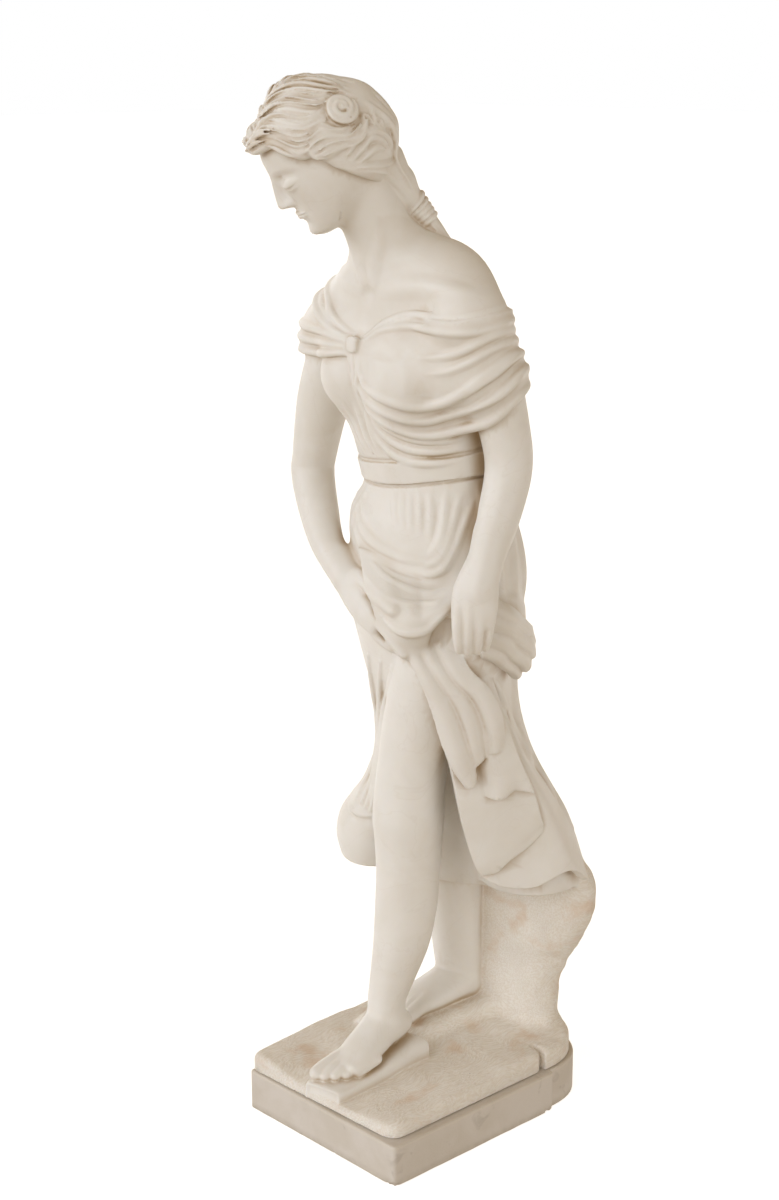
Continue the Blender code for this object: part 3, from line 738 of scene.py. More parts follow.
def on_head(surface):
    """Moves a surface from the head's own frame into its place."""
    points, quads, tris = surface
    return HEAD + points @ HEAD_FRAME, quads, tris


def bearing(rows):
    """Directions from rows of (azimuth, elevation): azimuth from forward towards her left, in degrees."""
    a, e = np.radians(np.moveaxis(np.asarray(rows, float), -1, 0))
    return np.stack([np.sin(a) * np.cos(e), np.cos(a) * np.cos(e), np.sin(e)], -1)


def step(d, soft):
    """From 0 to 1 as d goes from below 0 to above it, within about `soft` of 0."""
    return 0.5 + 0.5 * np.tanh(d / soft)


def relief(x, z):
    """How far the face stands forward of the plain oval at x aside and z up, in metres: Gaussian swellings,
    the nose as a ridge of changing height, eyeballs, and soft steps along arcs for lids and lips."""
    x, z = np.abs(x) * 1000, z * 1000
    rise = np.zeros_like(x)
    for a, b, wide, tall, height in FEATURES:
        rise += height * np.exp(-(((x - a) / wide) ** 2) - ((z - b) / tall) ** 2)
    ridge = smooth_path(NOSE, 200)[::-1].T
    rise += np.interp(z, ridge[0], ridge[1]) * np.exp(-((x / np.interp(z, ridge[0], ridge[2])) ** 2.3))
    # the brow, from beside the nose out to the temple
    arch = 4.5 - ((x - 29) / 24) ** 2 * 6.0
    rise += 1.5 * np.exp(-(((z - arch) / 5.5) ** 2)) * step(x - 7, 4) * step(50 - x, 5)
    # the eye: its ball, then the upper and the lower lid standing over it, then the fold above
    t = (x - 29) / 14.0
    inside = np.sqrt(np.clip(1 - t**2, 0, 1))
    rise += 4.4 * np.clip(1 - ((x - 29) / 17.0) ** 2 - ((z + 17.0) / 13.0) ** 2, 0, 1) ** 1.4
    upper, lower = -21.0 + 3.6 * t**2, -24.6 + 5.6 * t**2
    rise += 1.8 * inside * step(z - upper, 0.5) * np.exp(-((np.maximum(z - upper, 0) / 7) ** 2))
    rise += 1.2 * inside * step(lower - z, 0.5) * np.exp(-((np.maximum(lower - z, 0) / 3.5) ** 2))
    fold = z + 9.2 + 5.5 * ((x - 30) / 16) ** 2
    rise -= 1.0 * np.sqrt(np.clip(1 - ((x - 30) / 17) ** 2, 0, 1)) * np.exp(-((fold / 1.3) ** 2))
    # the lips: two rolls that thin out towards the corners, with the line of the mouth between them
    thin = np.sqrt(np.clip(1 - (x / 20.5) ** 2, 0, 1))
    line = -62.6 + 0.9 * np.exp(-((x - 6) / 5) ** 2) + 0.6 * (x / 20) ** 2
    rise += 2.9 * thin**0.8 * np.clip(1 - ((z - line - 2.5 * thin) / (2.8 * thin + 0.4)) ** 2, 0, 1) ** 0.6
    rise += 3.1 * thin**1.2 * np.clip(1 - ((z - line + 2.9 * thin) / (3.3 * thin + 0.4)) ** 2, 0, 1) ** 0.6
    rise -= 1.5 * step(20.5 - x, 1.5) * np.exp(-(((z - line) / 0.9) ** 2))
    return rise / 1000


def face_front(x, z):
    """How far forward the face stands in the head's frame at x aside and z up: the level ovals of FACE and
    the relief on them."""
    up, middle, wide, deep = smooth_path(FACE, 240)[::-1].T
    across = np.clip(x / np.interp(z, up, wide), -1, 1)
    y = np.interp(z, up, middle) + np.interp(z, up, deep) * np.sqrt(1 - across**2)
    return y + relief(x, z) * np.clip(y / 0.030, 0, 1)


def carve_face(m):
    """The face is level ovals (a(z) cos u, c(z) + b(z) sin u, z) with the relief added in front."""
    rows = smooth_path(FACE, 240)
    z, middle, wide, deep = (rows[:, i : i + 1] for i in range(4))
    u = np.linspace(0, 2 * np.pi, 280, endpoint=False)
    x, y, z = wide * np.cos(u), middle + deep * np.sin(u), np.repeat(z, 280, 1)
    y += relief(x, z) * np.clip(y / 0.030, 0, 1)
    m.add(on_head(closed(np.stack([x, y, z], -1)[::-1])), 0.014)
    for s in (-1, 1):
        m.cut(on_head(ball((0.0056 * s, 0.0850, -0.0492), (0.0024, 0.0038, 0.0026))), 0.002)


HAIRLINE = [(0, 31), (19, 28), (45, 22), (63, 12), (72, -2), (84, -18), (100, -40), (128, -60), (180, -66)]
COMBED = [  # rows of (azimuth, elevation) from the parting back over the temples
    [(2, 30), (20, 29), (42, 23), (60, 13), (71, 4)], [(1, 33), (22, 34), (47, 28), (69, 19), (88, 16)],
    [(0, 38), (25, 41), (52, 36), (78, 27), (99, 22)], [(0, 46), (29, 50), (60, 44), (86, 35), (106, 31)],
    [(0, 56), (38, 60), (74, 52), (100, 42), (118, 37)],
    [(0, 68), (60, 72), (104, 60), (126, 48), (140, 38)],
    [(0, 80), (110, 82), (142, 64), (152, 50), (158, 36)],
]
TEMPLE = [
    [(65, 12), (76, 18), (86, 19), (94, 14), (102, 7)], [(67, 8), (78, 8), (90, 5), (104, 1), (118, 2)],
    [(70, 2), (82, -3), (94, -5), (110, -5), (126, 2)],
]
FRINGE = [
    [(71, 0), (85, -10), (101, -24), (120, -38), (140, -50)],
    [(76, -8), (89, -20), (105, -35), (124, -48), (144, -57)],
    [(84, -17), (95, -30), (110, -44), (128, -54), (148, -62)],
]
NAPE = [
    [(118, 54), (136, 24), (146, -8), (151, -26), (156, -42)],
    [(145, 74), (154, 28), (160, -8), (164, -28), (168, -44)],
    [(178, 84), (177, 30), (178, -8), (179, -28), (180, -44)],
]
LOOPS = [
    [(92, -13), (104, -7), (117, -4), (131, -11), (141, -22), (145, -32)],
    [(96, -18), (108, -14), (119, -11), (130, -18), (137, -27)],
    [(100, -23), (112, -21), (122, -21), (132, -27)],
    [(95, -24), (108, -31), (121, -37), (138, -42), (152, -44)],
    [(99, -30), (112, -38), (127, -46), (144, -52)],
]
TAIL = [
    (0.004, -0.050, 1.382, 0.042, 0.036), (0.011, -0.019, 1.346, 0.0290, 0.024),
    (0.019, 0.001, 1.326, 0.0200, 0.0185),
    (0.0275, 0.015, 1.308, 0.0160, 0.0155), (0.035, 0.028, 1.290, 0.0145, 0.0130),
    (0.045, 0.044, 1.265, 0.0110, 0.0090),
    (0.050, 0.053, 1.243, 0.0060, 0.0045),
]


def outward(line):
    """Directions away from the middle of the head and, below it, from the middle of the neck."""
    z = line[..., 2:]
    core = np.concatenate([0.2 * np.minimum(z + 0.04, 0), np.full_like(z, -0.006), np.minimum(z + 0.03, 0)],
                          -1)
    return unit(line - core)


def on_tail(t, turn):
    """Points on the gathered hair behind the neck, in the head's frame: t runs down it, and turn is 0 at
    the back and grows towards her left, in degrees."""
    rows = smooth_path(TAIL, 121)
    along = unit(np.gradient(rows[:, :3], axis=0))
    left = unit(HEAD_FRAME[0] - (along @ HEAD_FRAME[0])[:, None] * along)
    i = np.asarray(t * 120).astype(int)
    turn = np.radians(turn)[..., None]
    back = np.cross(left, along)
    point = rows[i, :3] + rows[i, 3:4] * np.sin(turn) * left[i] + rows[i, 4:5] * np.cos(turn) * back[i]
    return (point - HEAD) @ HEAD_FRAME.T


SWELLS = [  # azimuth, elevation, width, rise: the hair stands higher or lower than the plain oval here
    (0, 29, 0.022, 0.0105), (0, 50, 0.032, -0.0060), (0, 74, 0.034, 0.0035), (146, 30, 0.050, -0.0125),
]


def swell(points):
    """Raises points of the head's plain oval by Gaussian swellings, alike on both sides."""
    fold = points * (1, 1, 1)
    fold[..., 0] = np.abs(fold[..., 0])
    rise = 0.0
    for a, e, width, height in SWELLS:
        middle = bearing([(a, e)])[0] * HAIR
        rise = rise + height * np.exp(-((fold - middle) ** 2).sum(-1, keepdims=True) / width**2)
    return points + rise * unit(points)


def swing(line, up, wave, rng):
    """How a lock sways aside of its line: wave * sin(2 pi (1.5 v + a random start)), v from 0 to 1."""
    v = np.linspace(0, 1, len(line))
    aside = unit(np.cross(up, np.gradient(line, axis=0)))
    return wave * np.sin(2 * np.pi * (1.5 * v + rng.uniform(0, 0.2)))[:, None] * aside


def strands(m, guides, count, size, proud, rng, gather=None, wave=0.0, blend=0.002, taper=0.35, tip=0.35,
            root=0.006, sink=0.0):
    """Locks laid side by side between guide lines: each is a bead that sways and rises a little along its
    way; it comes out of the head from `root` deep, and its end goes down by `sink`.
    With gather, the lines run on over the tail of hair at those turns, down to the tie."""
    for side in (1, -1):
        rows = swell(bearing(guides) * HAIR * (side, 1, 1))
        if gather is not None:
            turn = side * np.asarray(gather, float)
            rows = np.concatenate([rows, on_tail(np.full(len(turn), 0.10), turn)[:, None],
                                   on_tail(np.full(len(turn), 0.26), turn)[:, None]], 1)
        lines = patch(rows, count, 56)
        v = np.linspace(0, 1, 56)
        tuck = -root * np.clip(1 - v / 0.09, 0, 1) ** 1.5 - sink * np.clip((v - 0.70) / 0.30, 0, 1) ** 1.5
        for line in lines:
            up = outward(line)
            sway = swing(line, up, wave, rng)
            lift = proud + rng.uniform(-0.0018,
                                       0.0014) + tuck + 0.0012 * np.sin(np.pi * v * rng.uniform(2, 4))
            r = size * rng.uniform(0.8, 1.2)
            m.add(on_head(cord(line + sway + (lift - r)[:, None] * up, r, taper, tip)), blend)


def partings(m, guides, count, size, height, rng, wave):
    """Fine valleys cut between the locks along swaying lines, at `height` above the head's plain oval."""
    for side in (1, -1):
        v = np.linspace(0, 1, 56)
        for line in patch(swell(bearing(guides) * HAIR * (side, 1, 1)), count, 56):
            up = outward(line)
            sway = swing(line, up, wave, rng)
            deep = height + size - 0.0016 * np.sin(np.pi * v * rng.uniform(1, 3)) ** 2
            r = size * rng.uniform(0.8, 1.2)
            m.cut(on_head(cord((line + sway + deep[:, None] * up)[4:-4], r, 0.3, 0.15)), 0.0012)


def carve_loops(m, side):
    """Three locks side by side along each of LOOPS, drawn back from the temple towards the tail."""
    for path in LOOPS:
        way = unit(smooth_path(bearing(path), 40)) * (side, 1, 1)
        for shift in (-0.030, 0.0, 0.030):
            across = unit(np.cross(way, np.gradient(way, axis=0)))
            ridge = unit(way + shift * across)
            lock = swell(ridge * HAIR) - (0.0005 + 0.07 * abs(shift)) * ridge
            m.add(on_head(cord(lock, 0.0036, 0.5, 0.3)), 0.0014)


def carve_curls(m, side, rng):
    """Small hooks of hair behind the ear, each a bent bead that lies at a random turn."""
    for _ in range(26):
        way = bearing([(rng.uniform(122, 150), rng.uniform(-13, 7))])[0] * (side, 1, 1)
        turn = unit(rng.normal(size=3))
        v = np.linspace(0, np.pi * 1.3, 16)[:, None]
        a = unit(np.cross(way, turn))
        hook = swell(way * HAIR) - 0.0018 * way + 0.0050 * (np.cos(v) * a + np.sin(v) * np.cross(way, a))
        m.add(on_head(cord(hook, 0.0028, 0.5, 0.4)), 0.002)


def carve_coil(m, side):
    """The coil over the ear: a cushion, and on it a bead that winds in 2.1 turns from 20.5 mm to 5.5 mm and
    rises by 4.5 mm, with a knob in the middle."""
    way = bearing([(111, 23)])[0] * (side, 1, 1)
    a = unit(np.cross(way, (0, 0, 1.0)))
    b = np.cross(way, a)
    v = np.linspace(0, 1, 90)[:, None]
    turn = 2 * np.pi * 2.1 * v * side
    middle = swell(way * HAIR)
    coil = middle + 0.0005 * way + (0.0205 - 0.0150 * v) * (np.cos(turn) * a + np.sin(turn) * b)
    coil = coil + (0.0005 + 0.0045 * v) * way
    m.add(on_head(ball(middle - 0.0030 * way, (0.0215, 0.0215, 0.0060), np.stack([a, b, way], 1))), 0.002)
    m.add(on_head(cord(coil, 0.0044, 0.12, 0.7)), 0.0006)
    m.add(on_head(ball(middle + 0.0035 * way, (0.0055, 0.0055, 0.0055))), 0.001)


def carve_tie(m):
    """Five bands round the gathered hair behind the neck, then five locks down its loose end."""
    rows = smooth_path(TAIL, 61)
    along = unit(np.gradient(rows[:, :3], axis=0))
    turn = np.linspace(0, 2 * np.pi, 40)[:, None]
    for i in (18, 21, 24, 27, 30):
        side = unit(np.cross(along[i], (0.3, -0.6, 0.7)))
        ring = rows[i, :3] + rows[i, 3] * (np.cos(turn) * side + np.sin(turn) * np.cross(along[i], side))
        m.add(cord(ring, 0.0036, 0.05, 0.9), 0.0008)
    for shift in np.linspace(-0.8, 0.8, 5):
        side = unit(np.cross(along, (0.7, 0.3, 0.6)))[32:]
        back = np.cross(side, along[32:])
        lock = rows[32:, :3] + rows[32:, 3:4] * shift * side + rows[32:,
                                                                    4:5] * 0.5 * back * np.sign(back[:,
                                                                                                     1:2])
        m.add(cord(lock, 0.0036, 0.3, 0.5), 0.0012)


def carve_hair(m):
    """A cap from the crown down to the hairline and the tail behind, then the locks, combed back over the
    head in two layers, and the valleys between them."""
    rng = np.random.default_rng(7)
    half = bearing(smooth_path(HAIRLINE, 40))
    rim = np.concatenate([half, half[-2:0:-1] * (-1, 1, 1)])
    pole = bearing([(180, 38)])[0]
    t = np.linspace(0.03, 1, 26)[:, None, None]
    out = unit((1 - t) * pole + t * rim[None])
    inset = 0.0020 + 0.0080 * np.clip((t - 0.90) / 0.10, 0, 1) ** 2
    cap = np.concatenate([swell(out * HAIR) - inset * out, (out * (HAIR - 0.024))[::-1]])
    m.add(on_head(closed(cap)), 0.003)
    m.add(limb(TAIL, around=40), 0.006)
    strands(m, NAPE, 15, 0.0038, 0.0030, rng, gather=(60, 30, 0), wave=0.0012, blend=0.0012, taper=0.2,
            tip=0.6)
    strands(m, COMBED, 12, 0.0076, 0.0018, rng, wave=0.0052, blend=0.0008, taper=0.15, tip=0.6, root=0.0020,
            sink=0.0040)
    strands(m, COMBED, 18, 0.0038, 0.0046, rng, wave=0.0056, blend=0.0010, tip=0.5, root=0.0030,
            sink=0.0040)
    strands(m, FRINGE, 6, 0.0040, -0.0005, rng, gather=(78, 98, 120), wave=0.0004)
    strands(m, TEMPLE, 5, 0.0060, 0.0012, rng, wave=0.0020)
    strands(m, TEMPLE, 8, 0.0036, 0.0042, rng, wave=0.0026, blend=0.0012, tip=0.5)
    partings(m, COMBED, 15, 0.0022, 0.0014, rng, wave=0.0052)
    partings(m, TEMPLE, 5, 0.0018, 0.0030, rng, wave=0.0020)
    for side in (1, -1):
        carve_loops(m, side)
        carve_curls(m, side, rng)
        carve_coil(m, side)
    carve_tie(m)


def carve_skirt_folds(m):
    """The overskirt: slack loops across the belly between the hips, then gathers under the belt, on her
    sides and down the back."""
    folds(m, [(-53, 0.944), (-35, 0.915), (-3, 0.894), (24, 0.880), (53, 0.871)],
          [(-60, 0.892), (-30, 0.862), (16, 0.850), (53, 0.846), (66, 0.850)],
          3, 0.0090, 0.0042, 0.006, taper=0.5, ends=0.2, steps=60)
    folds(m, [(53, 0.842), (63, 0.847), (70, 0.861), (79, 0.901), (92, 0.946)],
          [(57, 0.870), (62, 0.880), (66, 0.895), (70, 0.925), (73, 0.957)],
          3, 0.0075, 0.0045, 0.005, taper=0.45, ends=0.2, steps=50)
    folds(m, [(20, 0.955), (22, 0.930), (26, 0.906)], [(60, 0.957), (60, 0.925), (58, 0.892)],
          5, 0.0060, 0.0030, 0.005, taper=0.7, ends=0.1)
    folds(m, [(-78, 0.955), (-80, 0.910), (-84, 0.860)], [(-40, 0.952), (-52, 0.910), (-66, 0.862)],
          4, 0.0070, 0.0036, 0.005, taper=0.6, ends=0.15)
    folds(m, [(96, 0.962), (99, 0.900), (103, 0.840), (108, 0.760)],
          [(262, 0.962), (258, 0.900), (254, 0.840), (250, 0.760)],
          11, 0.0100, 0.0058, 0.006, start=0.34, taper=0.4, ends=0.3, steps=50)


def carve_pleats(m):
    """The skirt's long pleats on its right side, its left side and its back."""
    # right side, from the hand down: they close up at the knee and spread again to the hem
    side_folds(m, [(-0.048, 0.700), (-0.042, 0.645), (-0.036, 0.600), (-0.034, 0.555), (-0.044, 0.508),
                   (-0.066, 0.462)],
               [(0.004, 0.700), (-0.010, 0.645), (-0.022, 0.595), (-0.028, 0.550), (-0.036, 0.495),
                (-0.046, 0.452)],
               4, 0.0068, 0.0060, 0.002, taper=0.3, ends=0.5, steps=70)
    hem = [(-0.084, 0.451), (-0.074, 0.444), (-0.058, 0.441), (-0.040, 0.444)]
    side_folds(m, hem, hem, 1, 0.0050, 0.0030, 0.002, taper=0.4, ends=0.4)
    # left side, behind the falling folds
    crest = [(0.108, 0.700), (0.130, 0.668), (0.148, 0.614), (0.171, 0.556), (0.197, 0.506), (0.224, 0.448),
             (0.245, 0.389)]
    side_folds(m, crest, crest, 1, 0.0090, 0.0058, 0.003, taper=0.3, ends=0.5, steps=70)
    valley = [(0.100, 0.680), (0.122, 0.640), (0.141, 0.590), (0.163, 0.535), (0.188, 0.484)]
    side_folds(m, valley, valley, 1, 0.0060, 0.0048, 0.003, taper=0.4, ends=0.3, cut=True, steps=60)
    # back, fanning to the hem
    folds(m, [(100, 0.740), (104, 0.640), (110, 0.540), (118, 0.400)],
          [(262, 0.740), (256, 0.640), (248, 0.560), (238, 0.480)],
          10, 0.0120, 0.0068, 0.006, axis=(0.030, 0.110), start=0.40, taper=0.25, ends=0.5, steps=60)


GROUND = 0.0614  # the carving stands on the plinth here, with a hair's breadth of mortar
TOP = np.array([  # x, y and height of the ground: low along the front, high at the back and to her right
    (-0.15, -0.16, 0.086), (-0.05, -0.16, 0.072), (0.04, -0.16, 0.070), (0.14, -0.16, 0.078),
    (-0.15, -0.10, 0.094),
    (-0.05, -0.10, 0.084), (0.05, -0.10, 0.078), (0.14, -0.10, 0.084), (-0.15, 0.00, 0.098),
    (-0.05, 0.00, 0.094),
    (0.06, 0.00, 0.087), (0.14, 0.00, 0.089), (-0.15, 0.14, 0.099), (0.00, 0.12, 0.097),
    (0.14, 0.14, 0.093),
    (0.00, 0.27, 0.097), (0.13, 0.26, 0.094),
])
FOOT_BLOCK = [  # along y: right edge, left edge, top; a wedge that rises from the toes to the heel
    (-0.1510, -0.028, 0.020, 0.082), (-0.1480, -0.037, 0.028, 0.0895), (-0.090, -0.046, 0.034, 0.0990),
    (-0.020, -0.048, 0.034, 0.1130), (0.004, -0.048, 0.034, 0.1185), (0.018, -0.046, 0.033, 0.1160),
    (0.023, -0.040, 0.028, 0.106),
]
LEDGE = [
    (0.010, -0.104, -0.026, 0.100), (0.016, -0.112, -0.014, 0.108), (0.046, -0.118, 0.002, 0.1135),
    (0.130, -0.120, 0.012, 0.1205), (0.215, -0.118, 0.018, 0.1260), (0.240, -0.110, 0.018, 0.1210),
]
LEFT_FOOT = [
    (-0.009, -0.002, 0.1400, 0.0235, 0.0215), (-0.010, -0.022, 0.1450, 0.0280, 0.0290),
    (-0.008, -0.050, 0.1320, 0.0300, 0.0255),
    (-0.004, -0.084, 0.1170, 0.0315, 0.0190), (-0.004, -0.106, 0.1080, 0.0285, 0.0135),
]
LEFT_TOES = [
    [(-0.020, -0.090, 0.1130, 0.0140), (-0.025, -0.126, 0.1035, 0.0128), (-0.027, -0.143, 0.0985, 0.0112)],
    [(-0.008, -0.090, 0.1140, 0.0105), (-0.012, -0.124, 0.1060, 0.0092), (-0.014, -0.139, 0.0970, 0.0086)],
    [(0.003, -0.086, 0.1140, 0.0105), (0.000, -0.116, 0.1065, 0.0089), (-0.002, -0.130, 0.0985, 0.0083)],
    [(0.013, -0.080, 0.1140, 0.0100), (0.010, -0.105, 0.1070, 0.0086), (0.008, -0.118, 0.1000, 0.0079)],
    [(0.021, -0.072, 0.1140, 0.0095), (0.020, -0.092, 0.1070, 0.0080), (0.018, -0.103, 0.1020, 0.0074)],
]
RIGHT_FOOT = [
    (-0.044, 0.194, 0.168, 0.0280, 0.030), (-0.042, 0.192, 0.146, 0.0300, 0.0260),
    (-0.042, 0.160, 0.148, 0.0330, 0.0320),
    (-0.046, 0.122, 0.140, 0.0350, 0.0270), (-0.052, 0.088, 0.132, 0.0350, 0.0195),
    (-0.053, 0.066, 0.126, 0.0310, 0.0150),
]
RIGHT_TOES = [
    [(-0.035, 0.087, 0.1370, 0.0135), (-0.032, 0.060, 0.1285, 0.0125), (-0.031, 0.042, 0.1220, 0.0115)],
    [(-0.046, 0.084, 0.1380, 0.0105), (-0.045, 0.058, 0.1300, 0.0094), (-0.045, 0.044, 0.1205, 0.0086)],
    [(-0.057, 0.088, 0.1370, 0.0105), (-0.058, 0.066, 0.1300, 0.0090), (-0.058, 0.054, 0.1205, 0.0083)],
    [(-0.067, 0.092, 0.1360, 0.0100), (-0.069, 0.074, 0.1290, 0.0086), (-0.070, 0.064, 0.1205, 0.0079)],
    [(-0.076, 0.100, 0.1350, 0.0095), (-0.079, 0.086, 0.1280, 0.0080), (-0.080, 0.077, 0.1205, 0.0074)],
]


CORNERS = [(-0.1600, -0.1605, 0.020), (0.1445, -0.1530, 0.026), (0.1445, 0.1560, 0.024),
           (-0.1590, 0.1560, 0.024)]


def tongue(wide, x, y, count):
    """The rounded end at the back, seen from above: its half width goes as |cos t|**0.8 and its length as
    sin(t)**0.8, for t from 0 to pi."""
    t = np.linspace(0, np.pi, count)
    c, s = np.cos(t), np.sin(t)
    return np.stack([x + wide * np.sign(c) * np.abs(c) ** 0.8, y + 0.110 * s**0.8], -1)


def plan():
    """The ground seen from above. Each corner c is a bow (1-t)**2 p + 2t(1-t) c + t**2 q between points p
    and q set back from it by its third value; the tongue goes out at the back."""
    t = np.linspace(0, 1, 9)[:, None]
    rows = np.array(CORNERS)
    bows = []
    for before, (x, y, back), after in zip(np.roll(rows, 1, 0), rows, np.roll(rows, -1, 0)):
        c = np.array((x, y))
        p, q = c + back * unit(before[:2] - c), c + back * unit(after[:2] - c)
        bows.append((1 - t) ** 2 * p + 2 * t * (1 - t) * c + t**2 * q)
    return np.concatenate([*bows[:3], tongue(0.126, 0.020, 0.1560, 26), bows[3]])


def flat_distance(x, y, line):
    """Signed distance in the plane from points to a closed line, negative inside."""
    p = np.stack(np.broadcast_arrays(x, y), -1)[..., None, :]
    a, b = line, np.roll(line, -1, 0)
    edge = b - a
    t = np.clip(((p - a) * edge).sum(-1) / np.maximum((edge**2).sum(-1), 1e-12), 0, 1)
    far = np.sqrt((((p - a) - t[..., None] * edge) ** 2).sum(-1)).min(-1)
    above = (a[:, 1] > p[..., 1]) != (b[:, 1] > p[..., 1])
    cross = a[:, 0] + (p[..., 1] - a[:, 1]) * edge[:, 0] / np.where(edge[:, 1] == 0, 1e-12, edge[:, 1])
    inside = ((above & (p[..., 0] < cross)).sum(-1) % 2) == 1
    return np.where(inside, -far, far)


def mottle(size, cell, rng):
    """Soft random swellings from -1 to 1: a coarse grid of random numbers, read between its values."""
    out = rng.uniform(-1, 1, [int(n / cell) + 2 for n in size]).astype(np.float32)
    for axis in range(3):
        t = np.arange(size[axis]) / cell
        i = t.astype(int)
        f = (t - i).astype(np.float32)
        f = (f * f * (3 - 2 * f)).reshape([-1 if k == axis else 1 for k in range(3)])
        out = np.take(out, i, axis) * (1 - f) + np.take(out, i + 1, axis) * f
    return out


def squared_block(rows, low, slant=0.0):
    """A block carried along y: each section is the oval |x/a|**n + |z/b|**n = 1 with n = 7, so flat with
    soft edges; y grows by slant times x."""
    y, left, right, top = smooth_path(rows, 60).T[:, :, None]
    u = np.linspace(0, 2 * np.pi, 96, endpoint=False)
    c, s = np.cos(u), np.sin(u)
    x = (left + right) / 2 + (right - left) / 2 * np.sign(c) * np.abs(c) ** (2 / 7)
    z = (low + top) / 2 + (top - low) / 2 * np.sign(s) * np.abs(s) ** (2 / 7)
    return closed(np.stack([x, y + slant * x, z], -1))


def carve_ground(m):
    """The ground is where a point lies inside the plan and below the top, the two met with a rounded edge.
    The top is the mean of the heights in TOP, each weighted by exp(-distance**2 / 0.05**2), with soft
    swellings."""
    rng = np.random.default_rng(3)
    k = int(0.16 / m.pitch) - m.low[2]
    x = (np.arange(m.size[0]) + m.low[0])[:, None] * m.pitch
    y = (np.arange(m.size[1]) + m.low[1])[None] * m.pitch
    z = (np.arange(k) + m.low[2]) * m.pitch
    wall = flat_distance(x, y, plan())[..., None]
    near = np.exp(-((x[..., None] - TOP[:, 0]) ** 2 + (y[..., None] - TOP[:, 1]) ** 2) / 0.05**2) + 1e-9
    top = (near * TOP[:, 2]).sum(-1) / near.sum(-1)
    top = top + 0.0012 * mottle((*top.shape, 1), 0.030 / m.pitch, rng)[..., 0]
    edge = 0.010
    a, b = wall + edge, z - top[..., None] + edge
    body = np.minimum(np.maximum(a, b), 0) + np.hypot(np.maximum(a, 0), np.maximum(b, 0)) - edge
    m.field[:, :, :k] = np.clip(np.maximum(body, GROUND - z), -m.far, m.far)


def roughen(m, low, high, rise, cell, rng):
    """Swells the surface in and out within a box by soft random amounts, fading towards the box's sides."""
    i, j = ((np.array([low, high]) / m.pitch).astype(int) - m.low).clip(0, m.size - 1)
    size = j - i
    fade = 1.0
    for axis, n in enumerate(size):
        t = np.minimum(np.arange(n), n - 1 - np.arange(n)) * m.pitch / 0.020
        t = np.clip(t, 0, 1).astype(np.float32)
        fade = fade * t.reshape([-1 if k == axis else 1 for k in range(3)])
    m.field[i[0]:j[0], i[1]:j[1], i[2]:j[2]] += rise * fade * mottle(size, cell / m.pitch, rng)


def carve_rock(m):
    """The rock and its web, and the ledge under the right foot, all roughened by soft random swellings."""
    rng = np.random.default_rng(5)
    m.add(column(ROCK, turn=False), 0.020)
    m.add(column(ROCK_WEB, turn=False), 0.016)
    m.add(squared_block(LEDGE, GROUND), 0.012)
    for rise, cell in ((0.0026, 0.036), (0.0010, 0.013)):
        roughen(m, (-0.20, 0.02, 0.090), (0.235, 0.29, 0.46), rise, cell, rng)
    roughen(m, (0.08, 0.15, 0.080), (0.235, 0.29, 0.28), 0.0018, 0.012, rng)


def carve_feet(m):
    """Each foot is a sole with a short limb for every toe."""
    for sole, toes in ((LEFT_FOOT, LEFT_TOES), (RIGHT_FOOT, RIGHT_TOES)):
        m.add(limb(sole), 0.006)
        for rows in toes:
            m.add(limb(rows, around=24), 0.0022)


def carve_figure():
    """The whole carving, and a copy of the block with only the ground and the rock in it."""
    m = Block((-0.245, -0.225, 0.05), (0.235, 0.312, 1.52), PITCH, 0.026)
    carve_ground(m)
    carve_rock(m)
    stone = m.as_it_is()
    m.add(squared_block(FOOT_BLOCK, 0.050, 0.17), 0.003)
    carve_body(m)
    belt(m)
    carve_skirt_folds(m)
    m.add(limb(LEFT_ARM), 0.014)
    m.add(limb(RIGHT_ARM), 0.014)
    m.add(limb(SLEEVE, across=(0, 0, 1)), 0.010)
    m.add(limb(SHAWL, across=(0, 0, 1)), 0.010)
    carve_neck(m)
    carve_bodice(m)
    for rows in (SKIRT_BACK, SKIRT_LEFT, SKIRT_RIGHT):
        m.add(column(rows), 0.010)
    m.add(column(UNDERSKIRT), 0.002)
    carve_pleats(m)
    m.add(limb(LEFT_LEG), 0.005)
    m.add(limb(RIGHT_LEG), 0.005)
    carve_feet(m)
    carve_cascade(m)
    carve_fan(m)
    carve_swag(m)
    carve_hands(m)
    carve_face(m)
    carve_hair(m)
    # everything ends level above the plinth
    m.field[:, :, : int(GROUND / m.pitch) - m.low[2] + 1] = m.far
    return m, stone


def srgb(code):
    """A hex colour such as "e1dcd2" as linear red, green, blue and a full alpha."""
    parts = [int(code[i:i + 2], 16) / 255 for i in (0, 2, 4)]
    return tuple(v / 12.92 if v <= 0.04045 else ((v + 0.055) / 1.055) ** 2.4 for v in parts) + (1.0,)


def add(tree, kind, settings=None, **inputs):
    """Adds a node, its settings and its inputs, and gives back its first output in use. An input is a value
    or another node's output; one named _2 is the node's third."""
    node = tree.nodes.new(kind)
    for name, value in (settings or {}).items():
        setattr(node, name, value)
    for name, value in inputs.items():
        socket = node.inputs[int(name[1:])] if name[0] == "_" else node.inputs[name.replace("_", " ")]
        if isinstance(value, bpy.types.NodeSocket):
            tree.links.new(value, socket)
        else:
            socket.default_value = value
    return next((out for out in node.outputs if out.enabled and not out.is_unavailable), None)


def start(name):
    """An empty material, its node tree, and where a point lies on the statue in metres."""
    material = bpy.data.materials.new(name)
    material.use_nodes = True
    tree = material.node_tree
    tree.nodes.clear()
    return material, tree, add(tree, "ShaderNodeTexCoord").node.outputs["Object"]


def noted(tree, name):
    """The number that `note` kept for each vertex under this name."""
    return add(tree, "ShaderNodeAttribute", {"attribute_name": name}).node.outputs["Fac"]


